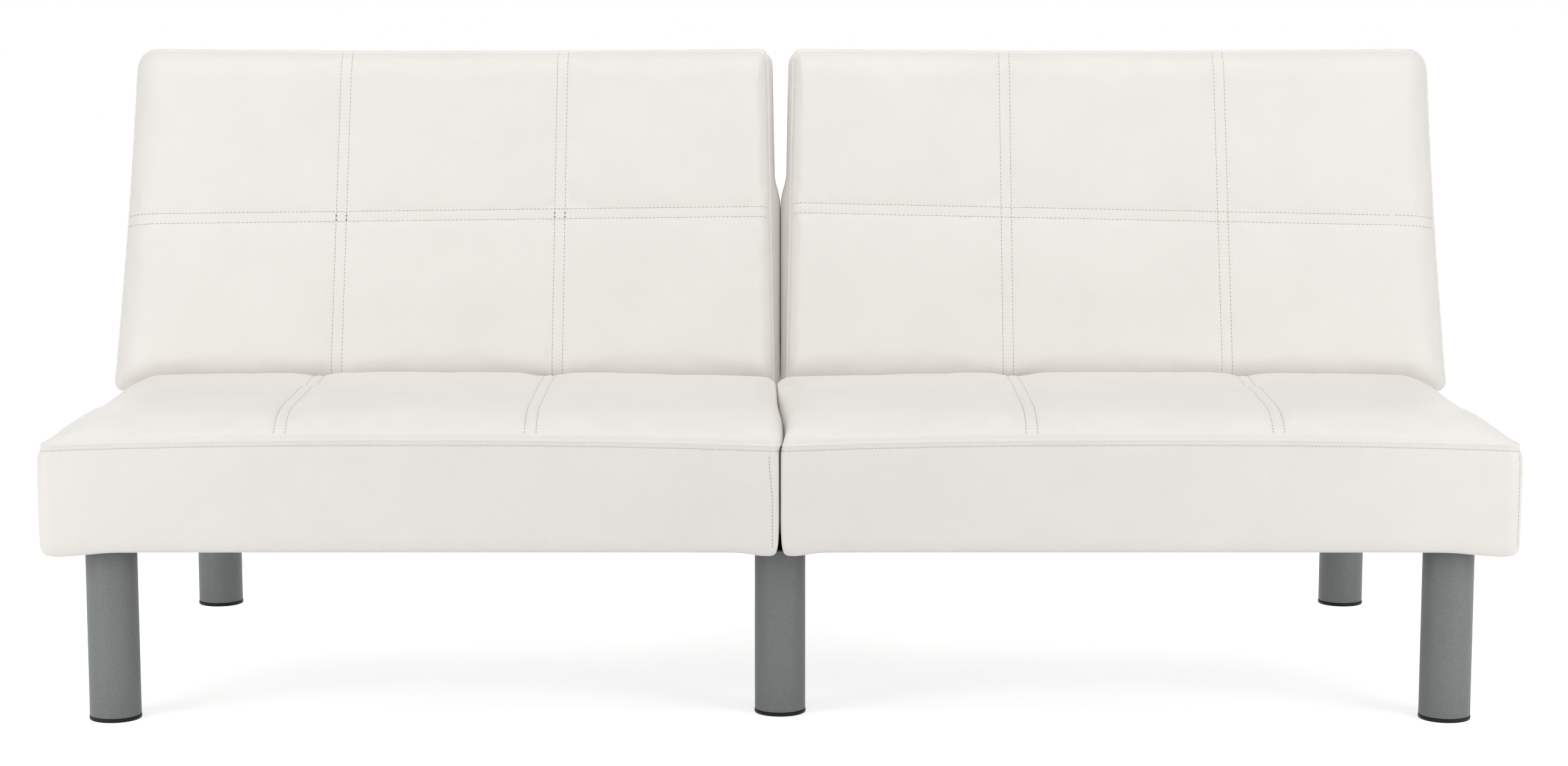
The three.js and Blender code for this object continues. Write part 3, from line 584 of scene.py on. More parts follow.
def lean_grid(spec, side, across, along):
    """Bend the grid so that its lines follow the channels and the cross row."""
    starts = [place for place, _ in CHANNELS[spec["kind"], side]]
    before, after = starts[0] + LEAN_FLAT, starts[1] - LEAN_FLAT
    x = across.copy()
    for which, reach in enumerate(([0, starts[0] - LEAN_FLAT, before, after],
                                   [before, after, starts[1] + LEAN_FLAT, HALF_WIDTH])):
        lean = channel_place(spec, side, which, along) - starts[which]
        x += np.interp(across, reach, [0, 1, 1, 0]) * lean
    if not spec["cross"]:
        return x, along.copy()
    middle = cross_place(side, HALF_WIDTH / 2)
    reach = [0, middle - LEAN_FLAT, middle + LEAN_FLAT, spec["length"]]
    return x, along + np.interp(along, reach, [0, 1, 1, 0]) * (cross_place(side, x) - middle)


def on_top(spec, side, x, y):
    """Points of the padded top, over places of the flat drawing."""
    flat = round_corners(spec, x, y)
    top_x, top_y = settle(spec, *flat, SEAM_INSET, 0.0, spec["seam_rise"])
    return np.stack([top_x, top_y, top_height(spec, side, x, y) + seam_lift(spec, x)], -1)


def cushion_shape(spec, side):
    """Points and faces of a cushion, and a one for each point that stays."""
    crossing = [cross_place(side, HALF_WIDTH / 2)] if spec["cross"] else []
    columns = grid_stops(HALF_WIDTH, [place for place, _ in CHANNELS[spec["kind"], side]])
    rows = grid_stops(spec["length"], crossing)
    x, y = lean_grid(spec, side, *np.meshgrid(columns, rows, indexing="ij"))
    held = (np.minimum.reduce(row_distances(spec, side, x, y)) < ROW_HELD).astype(float)
    held[EDGE_HELD, :] = 1
    held[:, EDGE_HELD] = 1
    points = [on_top(spec, side, x, y).reshape(-1, 3)]
    faces, border = grid_faces(*x.shape)
    rim_x, rim_y = (v.reshape(-1)[border] for v in round_corners(spec, x, y))
    lift = seam_lift(spec, x.reshape(-1)[border])
    rings = []
    for z, inset in wall_levels(spec):
        ring_x, ring_y = settle(spec, rim_x, rim_y, inset, tuck_at(spec, z), z)
        level = np.full(len(border), z)
        ring_z = hem_cut(spec, rim_x, rim_y, level) + lift * seam_fading(z)
        ring_z = ring_z + hem_droop(spec, rim_x, rim_y, ring_z)
        inside = inset > CAVITY_INSET and z > -spec["depth"] + 20 * MM
        rings.append((ring_x, ring_y, level if inside else ring_z))
    add_rings(points, faces, border, rings)
    points = np.concatenate(points)
    return points, faces, np.append(held.reshape(-1), np.ones(len(points) - x.size))


# %% [markdown]
# ## From the bench to the frame
# A seat lies level on its rails, and a back in a plane that leans 18 degrees from upright
# while one sits. Both are mirrored for the left.

# %% Placing
SEAT_RIM = 350 * MM
SEAT_FRONT = cad_box[0].y
PIVOT_Y = SEAT_FRONT + 462 * MM
PIVOT_Z = 345 * MM
BACK_TOP = 498 * MM
BACK_RIM = 5 * MM
RECLINE = math.radians(72)
SIDES = {"left": -1, "right": 1}
SWAY_AT = [0.0, 0.03, 0.10, 0.22, 0.33, 0.43]  # from the front
SWAY = mm(1, 5.5, 5, 0, -4.5, -5.5)  # to the right
WALL_REACH = 0.011  # from an inner wall, the points that bend along with it
OUTER_SLANT = {"left": 5 * MM, "right": 0.0}  # how much more the top's outer corner lies in


def gap_wander(x, y, z):
    """The line between the two seats bends a little, as each top leans on the other."""
    above = smooth(z, *mm(-6, 8))
    low = 1.6 * MM * np.sin(y * 42) * smooth(y, *mm(20, 60))
    return (np.interp(y, SWAY_AT, SWAY) * np.clip(1 - x / 0.09, 0, 1) ** 2 * above
            + low * np.clip(1 - x / WALL_REACH, 0, 1) * (1 - above))


def back_wander(x, z):
    """The backs' inner walls bend together, so that no light comes through."""
    hump = between(-z, *mm(26, 36, 52, 64))
    return 0.85 * MM * hump * np.clip(1 - x / WALL_REACH, 0, 1)


def squeezed_up(x, y, z):
    """Beside the backs the two tops press each other up out of the gap between them."""
    there = between(y, 0.22, 0.35, 0.405, 0.44) * between(z, *mm(-40, 0, 4, 40))
    return 18 * MM * there * np.clip(1 - x / 0.03, 0, 1)


def place_seat(points, side):
    x, y, z = points.T
    across = SIDES[side] * (INNER_X + x) + gap_wander(x, y, z)
    z = z + squeezed_up(x, y, z)
    return np.stack([across, SEAT_FRONT + y, SEAT_RIM + z], -1)


def place_back(points, side):
    x, y, z = points.T
    slant = OUTER_SLANT[side] * np.clip(1 - y / BACK["length"], 0, 1)
    x = x - slant * smooth(x, HALF_WIDTH - 0.20, HALF_WIDTH)
    up, out = BACK_TOP - y, BACK_RIM + z
    return np.stack([
        SIDES[side] * (INNER_X + x) + back_wander(x, z),
        PIVOT_Y + up * math.cos(RECLINE) - out * math.sin(RECLINE),
        PIVOT_Z + up * math.sin(RECLINE) + out * math.cos(RECLINE),
    ], -1)


PLACERS = {"seat": place_seat, "back": place_back}


def body_name(kind, side):
    return "base" if kind == "seat" else "back_" + side


def facing(kind, side, faces):
    turned = (side == "left") == (kind == "seat")
    return [f[::-1] for f in faces] if turned else faces

# %% [markdown]
# ## Blowing up the leather
# Between the rows the leather is free, and wadding presses it out. Cloth simulation does
# just that: rows, seams and walls are pinned, and the cushion gets pressure from inside. A
# cap on how far a point may move keeps the outline, and one subdivision then smooths it.

# %% Cloth
CLOTH_FRAMES = 20
CLOTH_CAP = {"seat": 2.6 * MM, "back": 1.2 * MM}


def blow_up(obj, held, cap):
    group = obj.vertex_groups.new(name="held")
    group.add(np.flatnonzero(held).tolist(), 1.0, "REPLACE")
    cloth = obj.modifiers.new("pressure", "CLOTH")
    settings = cloth.settings
    settings.vertex_group_mass = "held"
    settings.use_pressure = True
    settings.uniform_pressure_force = 4.0
    settings.shrink_min = -0.012
    settings.quality = 5
    settings.bending_stiffness = 6.0
    settings.effector_weights.gravity = 0
    cloth.collision_settings.use_collision = False
    cloth.point_cache.frame_start = 1
    cloth.point_cache.frame_end = CLOTH_FRAMES
    for step in range(1, CLOTH_FRAMES + 1):
        scene.frame_set(step)
    graph = bpy.context.evaluated_depsgraph_get()
    after = vertex_values(obj.evaluated_get(graph).to_mesh())
    obj.evaluated_get(graph).to_mesh_clear()
    obj.modifiers.remove(cloth)
    obj.vertex_groups.remove(group)
    scene.frame_set(1)
    before = vertex_values(obj.data)
    moved = after - before
    way = np.linalg.norm(moved, axis=1, keepdims=True)
    move_vertices(obj.data, before + moved * np.minimum(1, cap / np.maximum(way, 1e-9)))
    return float(way.max())


def refine(obj):
    obj.modifiers.new("refine", "SUBSURF").levels = 1
    graph = bpy.context.evaluated_depsgraph_get()
    finer = bpy.data.meshes.new_from_object(obj.evaluated_get(graph))
    obj.modifiers.clear()
    rough = obj.data
    obj.data = finer
    bpy.data.meshes.remove(rough)
    finer.name = obj.name
    finer.polygons.foreach_set("use_smooth", [True] * len(finer.polygons))


def close_under(obj):
    work = bmesh.new()
    work.from_mesh(obj.data)
    rim = [e for e in work.edges if e.is_boundary]
    for face in bmesh.ops.holes_fill(work, edges=rim, sides=0)["faces"]:
        face.smooth = False
    work.to_mesh(obj.data)
    work.free()
    obj.data.update()


# %% [markdown]
# ## Puckers
# Thread draws leather together, so short folds stand across every row and seam, and walls
# that are stapled by hand are never quite even. Both are smaller than the simulation's
# cells, so smooth noise moves the finished points along the way they face.

# %% Pucker helpers
from mathutils import noise

PUCKER = 0.55 * MM
UNEVEN = 1.5 * MM
ROW_FADE = 11 * MM
SEAM_FADE = 10 * MM
SEEDS = {"seat": 3.0, "back": 11.0}


def to_bench(points, kind, side):
    """The way back from the frame to a cushion's flat drawing."""
    x = SIDES[side] * points[:, 0] - INNER_X
    if kind == "seat":
        return x, points[:, 1] - SEAT_FRONT, points[:, 2] - SEAT_RIM
    y, z = points[:, 1] - PIVOT_Y, points[:, 2] - PIVOT_Z
    up = y * math.cos(RECLINE) + z * math.sin(RECLINE)
    out = -y * math.sin(RECLINE) + z * math.cos(RECLINE)
    return x, BACK_TOP - up, out - BACK_RIM


def noise_at(*places):
    return np.array([noise.noise(Vector(p)) for p in np.broadcast(*places)])


def pucker(obj, spec, side):
    points = vertex_values(obj.data)
    x, y, z = to_bench(points, spec["kind"], side)
    seed = SEEDS[spec["kind"]] + SIDES[side]
    top = smooth(z, *mm(6, 14))
    moved = np.zeros(len(x))
    for which, away in enumerate(row_distances(spec, side, x, y)):
        along, own = (x, seed + 5) if which == 2 else (y, seed + which)
        fade = np.exp(-np.maximum(away - STITCH_SPREAD, 0) / ROW_FADE)
        moved += PUCKER * top * fade * noise_at(along * 75, own, away * 12)
    seam = np.exp(-np.maximum(np.abs(z - 3 * MM) - 3 * MM, 0) / SEAM_FADE)
    moved += 0.8 * PUCKER * seam * noise_at(x * 60, y * 60, seed + 9)
    outer = smooth(12 * MM - np.minimum.reduce([x, HALF_WIDTH - x, y + 6 * MM]), 0, 10 * MM)
    wall = (1 - top) * np.maximum(outer, 0.6) * smooth(-z, *mm(4, 24))
    wall *= smooth(z + spec["depth"], 2 * MM, 20 * MM)
    moved += UNEVEN * wall * noise_at(x * 5.0, y * 5.0, z * 9 + seed)
    moved += 0.5 * UNEVEN * top * noise_at(x * 7 + seed, y * 7, 2.0)
    free = smooth(x, *mm(1, 10))  # the inner walls stay, as they nearly touch
    normals = vertex_values(obj.data, "normal")
    move_vertices(obj.data, points + normals * (moved * free)[:, None])
    return float(np.abs(moved).max())


# %% Sew the four cushions
def sew_cushion(spec, side):
    kind = spec["kind"]
    points, faces, held = cushion_shape(spec, side)
    placed = PLACERS[kind](points, side)
    obj = mesh_piece(f"{kind}_cushion_{side}", placed, facing(kind, side, faces))
    blown = blow_up(obj, held, CLOTH_CAP[kind])
    refine(obj)
    print(obj.name, "blown by up to", round(blown / MM, 1), "mm, puckered by up to",
          round(pucker(obj, spec, side) / MM, 2), "mm")
    close_under(obj)
    wear_finish(obj, leather)
    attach(obj, body_name(kind, side))
    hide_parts(f"{kind}_cover_{side}", f"{kind}_foam_{side}")
    return obj


HALVES = [(spec, side) for side in SIDES for spec in (SEAT, BACK)]
cushions = {(spec["kind"], side): sew_cushion(spec, side) for spec, side in HALVES}

# %% [markdown]
# ## Finding the leather's surface
# Stitches lie on the leather, wherever the pressure has moved it. A search tree over the
# finished mesh gives its nearest point and the way it faces.

# %% Surface finder
def surface_of(obj):
    faces = [tuple(p.vertices) for p in obj.data.polygons]
    return BVHTree.FromPolygons(vertex_values(obj.data).tolist(), faces)


surfaces = {key: surface_of(obj) for key, obj in cushions.items()}


def on_leather(key, path):
    """The leather's nearest points to a path, and the way that it faces at each."""
    kind, side = key
    return [surfaces[key].find_nearest(Vector(p))[:2] for p in PLACERS[kind](path, side)]


def lay_on(key, path, pitch):
    """Even places along a path that is laid on a cushion: middles, directions, normals."""
    spots = on_leather(key, path)
    lengths = [0.0]
    for (a, _), (b, _) in zip(spots, spots[1:]):
        lengths.append(lengths[-1] + (b - a).length)
    count = int(lengths[-1] // pitch)
    spare = (lengths[-1] - count * pitch) / 2
    laid, k = [], 0
    for i in range(count):
        at = spare + (i + 0.5) * pitch
        while lengths[k + 1] < at:
            k += 1
        (a, na), (b, nb) = spots[k], spots[k + 1]
        t = (at - lengths[k]) / (lengths[k + 1] - lengths[k])
        laid.append((a.lerp(b, t), (b - a).normalized(), na.lerp(nb, t).normalized()))
    return [np.array(column) for column in zip(*laid)]


# %% [markdown]
# ## Stitches
# A stitch rises out of one needle hole and dives into the next, so it is thin at both ends
# and highest in the middle. One small template is copied along every row in one go.

# %% Stitch and hole templates
PITCH = 5.6 * MM
STITCH_LENGTH = 4.4 * MM
THREAD_RADIUS = 0.42 * MM
STITCH_RINGS = ((-0.5, 0.30, -0.55), (-0.22, 1.0, 0.15), (0.22, 1.0, 0.15), (0.5, 0.30, -0.55))
STITCH_SIDES = 5
HOLE_RADIUS = 0.62 * MM
HOLE_DEPTH = 0.4 * MM
HOLE_SIDES = 6
HOLE_LIFT = 0.16 * MM  # above the leather, as the next two
ROW_LIFT = 0.05 * MM
SEAM_LIFT = 0.02 * MM


def stitch_template():
    """Each ring gives the place along the stitch, the thickness and the height."""
    points = [
        (along * STITCH_LENGTH, thick * THREAD_RADIUS * c, THREAD_RADIUS * (thick * s + up))
        for along, thick, up in STITCH_RINGS for c, s in round_about(STITCH_SIDES)
    ]
    return np.array(points), [f[::-1] for f in tube_faces(len(STITCH_RINGS), STITCH_SIDES)]


def hole_template():
    points = [(HOLE_RADIUS * 1.2 * c, HOLE_RADIUS * s, 0.0) for c, s in round_about(HOLE_SIDES)]
    sunk = [((s + 1) % HOLE_SIDES, s, HOLE_SIDES) for s in range(HOLE_SIDES)]
    return np.array(points + [(0.0, 0.0, -HOLE_DEPTH)]), [tuple(range(HOLE_SIDES))] + sunk


def copy_along(template, laid, lift):
    """The template at every place that is laid, a little above the leather."""
    points, faces = template
    middles, ways, normals = laid
    normals = normals - ways * np.sum(normals * ways, axis=1, keepdims=True)
    normals /= np.linalg.norm(normals, axis=1, keepdims=True)
    frames = np.stack([ways, np.cross(normals, ways), normals], axis=1)
    copies = np.einsum("pk,nkc->npc", points, frames)
    copies += (middles + normals * lift)[:, None, :]
    return joined([(copy, faces) for copy in copies])


# %% Sew along paths
def sew(spec, side, words, paths, pitch, lift):
    """One mesh of stitches along all the paths, and one of the needle holes between them."""
    key = spec["kind"], side
    stitches, holes, count = [], [], 0
    for path in paths:
        middles, ways, normals = lay_on(key, path, pitch)
        stitches.append(copy_along(stitch_template(), (middles, ways, normals), lift))
        halfway = middles + ways * pitch / 2
        holes.append(copy_along(hole_template(), (halfway, ways, normals), HOLE_LIFT))
        count += len(middles)
    # The hole meshes wear the dark finish that paints the shade inside the needle holes.
    for word, parts, finish in zip(words, (stitches, holes), (thread, needle_hole_shade)):
        obj = mesh_piece(f"{key[0]}_{word}_{side}", *joined(parts), smooth=finish is thread)
        wear_finish(obj, finish)
        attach(obj, body_name(*key))
    return count


def sew_rows(spec, side):
    offsets = (-STITCH_SPREAD, STITCH_SPREAD)
    y = np.linspace(1 * MM, spec["length"] - 1 * MM, 120)
    runs = [(channel_place(spec, side, which, y) + offset, y)
            for which in (0, 1) for offset in offsets]
    if spec["cross"]:
        x = np.linspace(1 * MM, HALF_WIDTH - 1 * MM, 200)
        runs += [(x, cross_place(side, x) + offset) for offset in offsets]
    paths = [on_top(spec, side, *run) for run in runs]
    return sew(spec, side, ("row_stitches", "row_holes"), paths, PITCH, ROW_LIFT)


for spec, side in HALVES:
    print(spec["kind"], side, "rows:", sew_rows(spec, side), "stitches")

# %% [markdown]
# On the left back the upright rows are tied off between the two cross rows, in small knots
# of a darker thread.

# %% Knots
KNOT_PLACES = mm(-1.2, 4.3)  # below the middle of the cross row
KNOT_SIZE = np.array([0.42, 2.4, 2.4])  # of a stitch
KNOT_LIFT = 0.3 * MM


def tie_knots(side):
    key = "back", side
    places = []
    for which in (0, 1):
        for offset in (-STITCH_SPREAD, STITCH_SPREAD):
            x = channel_place(BACK, side, which, CROSS_ROWS[side][0]) + offset
            places += [(x, cross_place(side, x) + below) for below in KNOT_PLACES]
    spots = on_leather(key, on_top(BACK, side, *np.array(places).T))
    middles, normals = (np.array(column) for column in zip(*spots))
    ways = np.tile([0.0, math.cos(RECLINE), math.sin(RECLINE)], (len(spots), 1))
    points, faces = stitch_template()
    knots = mesh_piece(f"back_knots_{side}", *copy_along(
        (points * KNOT_SIZE, faces), (middles, ways, normals), KNOT_LIFT))
    wear_finish(knots, knot_thread)
    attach(knots, body_name(*key))
    return len(spots)


print("knots:", tie_knots("left"))

# %% [markdown]
# ## Seams round the cushions
# The line of topstitching under the welt follows the ring of the cushion that was drawn in
# for it. The front of a seat also has a topstitched seam near one end, where its front
# strip is joined to the next one.

# %% Topstitching
SEAM_PITCH = 4.2 * MM
SEAM_STITCH_IN = 3.3 * MM  # how far the ring under the welt stands in
CORNER_SEAMS = {"left": (12 * MM, 8 * MM), "right": (HALF_WIDTH - 5 * MM, HALF_WIDTH - 4 * MM)}


def ring_path(spec):
    """All round the cushion, at the height of its top seam."""
    length = spec["length"]
    turns = np.cumsum([0, HALF_WIDTH, length, HALF_WIDTH, length])
    at = np.linspace(0, turns[-1], 900)
    x = np.interp(at, turns, [0, HALF_WIDTH, HALF_WIDTH, 0, 0])
    y = np.interp(at, turns, [0, 0, length, length, 0])
    ring_x, ring_y = settle(spec, *round_corners(spec, x, y), SEAM_STITCH_IN, 0.0)
    return np.stack([ring_x, ring_y, seam_lift(spec, x)], -1)


def corner_path(spec, x_top, x_low):
    """Down the front wall of a seat, from under the seam to above the hem."""
    z = np.linspace(-2 * MM, -spec["depth"] + 8 * MM, 60)
    x = x_low + (x_top - x_low) * seam_fading(z)
    return np.stack([x, np.full(len(z), 1 * MM), z + seam_lift(spec, x) * seam_fading(z)], -1)


for spec, side in HALVES:
    paths = [ring_path(spec)]
    if spec is SEAT:
        paths.append(corner_path(spec, *CORNER_SEAMS[side]))
    count = sew(spec, side, ("topstitches", "topstitch_holes"), paths, SEAM_PITCH, SEAM_LIFT)
    print(spec["kind"], side, "seams:", count, "stitches")

# %% [markdown]
# ## Legs
# Each leg is a round steel tube under a satin grey paint, with a thin black plastic cap at
# the foot. The frame's legs have few sides and are turned again with many.

# %% Leg paint
def paint_finish(name, dark, light, roughness, metallic):
    made = new_finish(name, light, roughness, Metallic=metallic, Coat_Weight=0.03,
                      Coat_Roughness=0.4, Specular_IOR_Level=0.22)
    return patterned(made, (dark, light), dict(Scale=900.0, Detail=2.0), stops=(0.35, 0.65),
                     relief=dict(Scale=140.0, Detail=2.0), bump=(0.05, 0.0004))


leg_paint = paint_finish(
    "grey_leg_paint", linear(116, 120, 120), linear(131, 135, 134), 0.52, 0.15)
beam_paint = paint_finish(
    "dark_beam_paint", linear(38, 39, 41), linear(48, 49, 51), 0.55, 0.2)
plastic = paint_finish(
    "black_foot_plastic", linear(15, 15, 16), linear(22, 22, 23), 0.5, 0.0)

# %% Turn the legs and caps
LEG_SIDES = 96
# Each pair is a radius and a height, in millimetres.
LEG_PROFILE = [
    (30.25, 213.9), (30.25, 6.2), (30.6, 5.0), (31.2, 4.8), (31.62, 5.2), (31.75, 5.9),
    (31.75, 60.0), (31.75, 120.0), (31.75, 180.0), (31.75, 216.6), (31.5, 217.4),
    (30.9, 217.7), (26.0, 217.7),
]
CAP_PROFILE = [
    (29.0, 0.0), (31.3, 0.0), (31.9, 0.35), (32.2, 1.0), (32.25, 2.2), (32.25, 3.9),
    (32.05, 4.35), (31.6, 4.5), (29.9, 4.5), (29.9, 16.2), (29.4, 16.5),
]


def turned(name, profile, node):
    low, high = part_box(node)
    x, y = (low[0] + high[0]) / 2, (low[1] + high[1]) / 2
    points = [(x + radius * MM * c, y + radius * MM * s, z * MM)
              for radius, z in profile for c, s in round_about(LEG_SIDES)]
    return mesh_piece(name, points, tube_faces(len(profile), LEG_SIDES))


legs = [f"{row}_{place}" for row in ("front", "rear") for place in ("left", "middle", "right")]
for leg in legs:
    tube = f"leg_{leg}_tube", f"leg_{leg}", LEG_PROFILE, leg_paint, "leg_paint"
    cap = f"foot_{leg}_cap", f"foot_cap_{leg}", CAP_PROFILE, plastic, "foot_plastic"
    for name, old, profile, finish, slot in (tube, cap):
        obj = turned(name, profile, f"leg_{leg}")
        wear_finish(obj, finish)
        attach(obj, "base")
        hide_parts(old)

# %% [markdown]
# ## Finishes of the frame
# The rails are sawn softwood, the boards plywood, the hinges zinc-plated steel and the
# cloth under the seats black.

# %% Wood, plywood, steel and cloth
def wood_finish(name, dark, light, stretch):
    """The grain runs the way in which the pattern is stretched least."""
    rings = dict(Scale=1.0, Detail=6.0, Distortion=1.2)
    return patterned(new_finish(name, light, 0.72), (dark, light), rings, stops=(0.34, 0.62),
                     stretch=stretch, bump=(0.3, 0.0005))


TIMBER = linear(176, 140, 94), linear(212, 180, 132)
timber_across = wood_finish("timber_across", *TIMBER, (6, 60, 60))
timber_along = wood_finish("timber_along", *TIMBER, (60, 6, 60))
timber_up = wood_finish("timber_up", *TIMBER, (60, 14, 6))
plywood = wood_finish("plywood", linear(196, 164, 116), linear(222, 194, 148), (5, 40, 90))
zinc = patterned(
    new_finish("zinc_steel", linear(176, 178, 180), 0.34, Metallic=0.92),
    (linear(158, 160, 163), linear(190, 192, 193)),
    dict(kind="Voronoi", output="Color", Scale=160.0),
    gloss=(0.26, 0.46, dict(Scale=60.0, Detail=4.0)),
)
dust_cloth = patterned(
    new_finish("black_dust_cloth", linear(30, 30, 32), 0.95),
    (linear(20, 20, 22), linear(42, 42, 44)),
    dict(Scale=700.0, Detail=3.0), bump=(0.5, 0.0004),
)


# %% Dress the frame's own nodes
NODE_FINISHES = {
    "hinge": zinc, "beam": beam_paint, "rear_cross_rail": beam_paint,
    "deck": plywood, "board": plywood,
    "seat_inner_rail": timber_along, "seat_outer_rail": timber_along,
    "inner_rail": timber_up, "outer_rail": timber_up, "rail": timber_across,
    "dust": dust_cloth,
}
for node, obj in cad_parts.items():
    found = [finish for word, finish in NODE_FINISHES.items() if word in node]
    wear_finish(obj, found[0] if found else leather)

# %% [markdown]
# Nothing that is sawn, pressed or rolled has a knife edge, so each node that shows gets a
# small bevel, which leaves the node's own mesh as it is.

# %% Soften the edges
EDGE_ROUND = {"hinge": 0.5 * MM, "beam": 1.0 * MM, "rear_cross": 1.2 * MM,
              "seat_": 1.0 * MM, "back_": 0.8 * MM}
REPLACED = ("cover", "foam", "rear_panel", "leg_", "foot_")
for node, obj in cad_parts.items():
    widths = [width for start, width in EDGE_ROUND.items() if node.startswith(start)]
    if widths and not any(word in node for word in REPLACED):
        bevel = obj.modifiers.new("soft_edges", "BEVEL")
        bevel.width, bevel.segments = widths[0], 2
        bevel.limit_method = "ANGLE"
        bevel.angle_limit = math.radians(40)

# %% [markdown]
# ## Covered rear panels
# Each back is closed behind by a thin board that is wrapped in the same leather over a
# little wadding and pushed into the opening of the cover: a shallow pillow that narrows
# towards the top as the cover does.

# %% Rear panels
PANEL_GAP = 1.0 * MM
PANEL_FACE = -95 * MM
PANEL_FRONT = -90.5 * MM
PANEL_RISE = 2.4 * MM


def panel_piece(side):
    spec = BACK
    length, tuck = spec["length"], spec["undercut"][1]
    x, y = np.meshgrid(grid_stops(HALF_WIDTH, []), grid_stops(length, []), indexing="ij")
    flat = round_corners(spec, x, y)
    edge = np.minimum.reduce([x, HALF_WIDTH - x, y, length - y])
    rise = PANEL_RISE * rolled(edge, 60 * MM, 2.0, 2.0)
    faces, border = grid_faces(*x.shape)
    face_x, face_y = settle(spec, *flat, 13.4 * MM + PANEL_GAP, tuck, PANEL_FACE)
    points = [np.stack([face_x, face_y, PANEL_FACE + 1.2 * MM - rise], -1).reshape(-1, 3)]
    rim = [values.reshape(-1)[border] for values in flat]
    add_rings(points, faces, border, [
        (*settle(spec, *rim, inset + PANEL_GAP, tuck, PANEL_FACE), np.full(len(border), z))
        for z, inset in ((PANEL_FACE + 2.2 * MM, 12.4 * MM), (PANEL_FRONT, 12.3 * MM))
    ])
    placed = place_back(np.concatenate(points), side)
    outside = facing("back", side, [f[::-1] for f in faces])
    obj = mesh_piece(f"back_rear_cushion_{side}", placed, outside)
    close_under(obj)
    wear_finish(obj, leather)
    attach(obj, body_name("back", side))
    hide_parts(f"back_rear_panel_{side}")


for side in SIDES:
    panel_piece(side)

# %% [markdown]
# ## Dust cloths
# A thin black cloth is stapled across the underside of each seat. Held at its edges it
# hangs only a few millimetres low, so two grids that sag like a shallow bowl are enough.

# %% Dust cloths
CLOTH_THICK = 0.8 * MM
CLOTH_SAG = 3.0 * MM
CLOTH_RIPPLE = 0.4 * MM
CLOTH_GRID = (49, 25)


def dust_piece(side):
    low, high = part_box(f"dust_cover_{side}")
    wide, deep = high[0] - low[0], high[1] - low[1]
    a, b = np.meshgrid(*(np.linspace(0, 1, count) for count in CLOTH_GRID), indexing="ij")
    bowl = (1 - (2 * a - 1) ** 4) * (1 - (2 * b - 1) ** 4)
    ripple = noise_at((a * 9).reshape(-1), (b * 6).reshape(-1), SIDES[side]).reshape(a.shape)
    upper = high[2] + (CLOTH_RIPPLE * ripple - CLOTH_SAG) * bowl
    points = [np.stack([low[0] + wide * a, low[1] + deep * b, z], -1).reshape(-1, 3)
              for z in (upper - CLOTH_THICK, upper)]
    over, rim = grid_faces(*CLOTH_GRID)
    raised = [tuple(v + a.size for v in f) for f in over]
    edge = ring_faces([v + a.size for v in rim], rim)
    faces = [f[::-1] for f in over] + raised + edge
    obj = mesh_piece(f"dust_cloth_{side}", np.concatenate(points), faces)
    wear_finish(obj, dust_cloth)
    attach(obj, "base")
    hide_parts(f"dust_cover_{side}")


for side in SIDES:
    dust_piece(side)

# %% [markdown]
# ## Floor and light
# The sofa stands in a white studio, on a large pale floor that keeps the soft shadow. Soft
# lamps at both sides, above and behind light it evenly.

# %% Floor
WHITE = (1, 1, 1, 1)
FLOOR_LIFT = 0.62  # added light where the floor is looked at


def seeing_rays(tree):
    """One for each ray that looks at the room, straight or by way of something shiny."""
    rays = add_node(tree, "LightPath")
    total = rays.outputs["Is Camera Ray"]
    for kind in ("Is Glossy Ray", "Is Transmission Ray"):
        added = add_node(tree, "Math", operation="ADD", use_clamp=True)
        tree.links.new(total, added.inputs[0])
        tree.links.new(rays.outputs[kind], added.inputs[1])
        total = added.outputs[0]
    return total


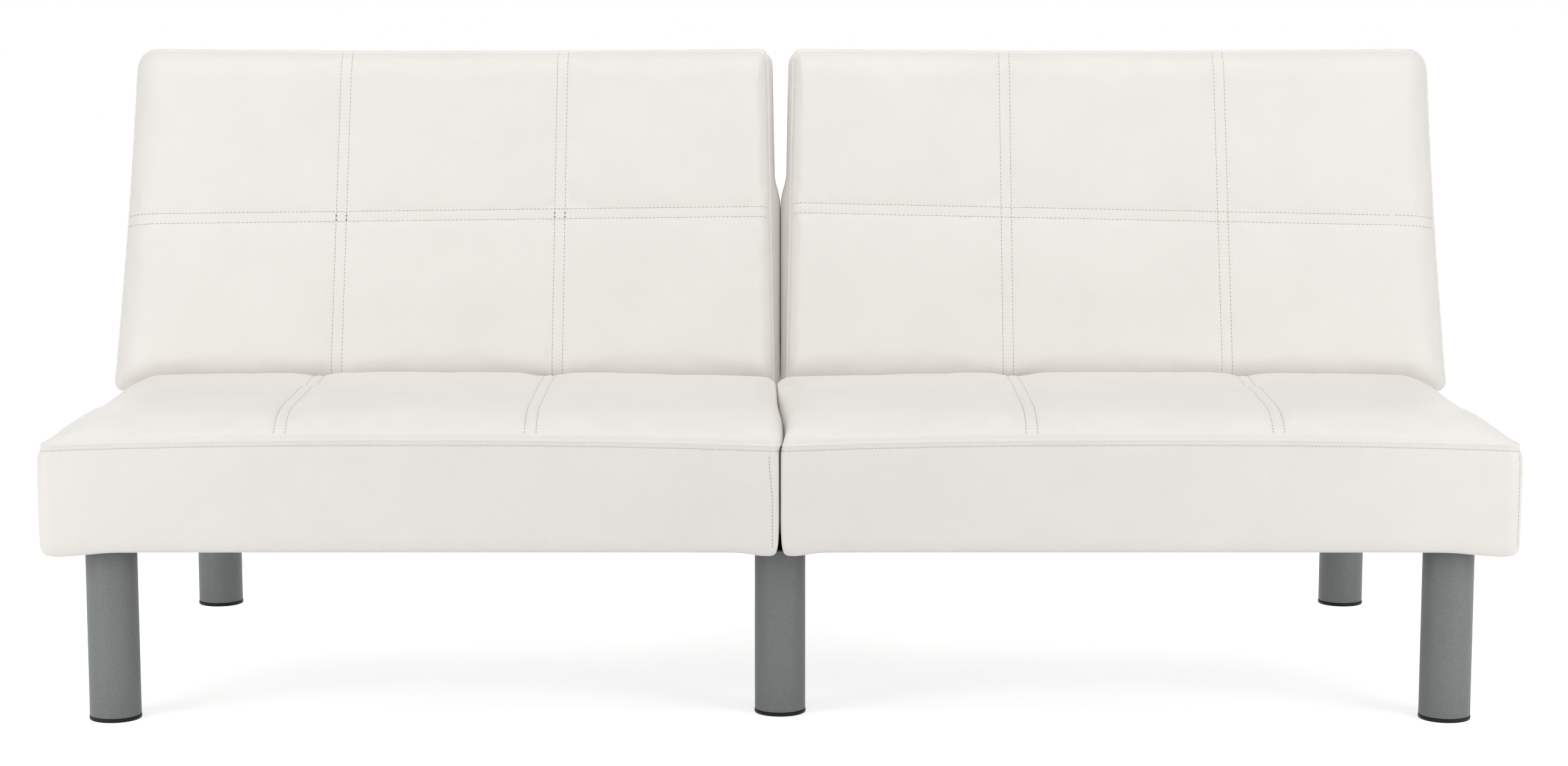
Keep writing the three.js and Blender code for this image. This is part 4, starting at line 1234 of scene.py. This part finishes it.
def floor_finish():
    finish, tree, shader = new_finish("studio_floor", (0.93, 0.93, 0.93, 1), 0.9)
    glow = add_node(tree, "Emission", Color=WHITE)
    lifted = add_node(tree, "Math", operation="MULTIPLY")
    lifted.inputs[1].default_value = FLOOR_LIFT
    tree.links.new(seeing_rays(tree), lifted.inputs[0])
    tree.links.new(lifted.outputs[0], glow.inputs["Strength"])
    both = add_node(tree, "AddShader")
    tree.links.new(shader.outputs[0], both.inputs[0])
    tree.links.new(glow.outputs[0], both.inputs[1])
    tree.links.new(both.outputs[0], tree.nodes["Material Output"].inputs["Surface"])
    return finish


CORNERS = [(-14, -9, 0), (14, -9, 0), (14, 16, 0), (-14, 16, 0)]
floor = mesh_piece("floor", CORNERS, [(0, 1, 2, 3)], smooth=False)
wear_finish(floor, floor_finish())

# %% World and lamps
world = bpy.data.worlds.new("studio")
scene.world = world
world.use_nodes = True
tree = world.node_tree
lit = tree.nodes["Background"]
lit.inputs["Color"].default_value = WHITE
lit.inputs["Strength"].default_value = 0.42
seen = add_node(tree, "Background", Color=WHITE, Strength=1.0)
mix = add_node(tree, "MixShader")
tree.links.new(seeing_rays(tree), mix.inputs["Fac"])
tree.links.new(lit.outputs[0], mix.inputs[1])
tree.links.new(seen.outputs[0], mix.inputs[2])
tree.links.new(mix.outputs[0], tree.nodes["World Output"].inputs["Surface"])


def lamp(name, place, target, size, power):
    data = bpy.data.lights.new(name, "AREA")
    data.shape = "RECTANGLE"
    data.size, data.size_y = size
    data.energy = power
    obj = bpy.data.objects.new(name, data)
    obj.location = place
    way = Vector(target) - obj.location
    obj.rotation_euler = way.to_track_quat("-Z", "Y").to_euler()
    scene.collection.objects.link(obj)


# Each lamp's name, place, target, width and height, and power in watts
lamp("lamp_left", (-2.2, -1.8, 0.9), (-0.5, -0.2, 0.35), (1.2, 1.5), 16.2)
lamp("lamp_right", (2.2, -1.8, 0.9), (0.5, -0.2, 0.35), (1.2, 1.5), 16.2)
lamp("lamp_above", (0, -0.7, 3.2), (0, 0, 0.4), (4.0, 2.4), 41)
lamp("lamp_front_low", (0, -4.6, 0.7), (0, 0, 0.45), (4.2, 1.0), 3)
lamp("lamp_behind", (0, 3.4, 2.2), (0, 0, 0.4), (3.6, 1.6), 34)

scene.view_settings.view_transform = "Standard"
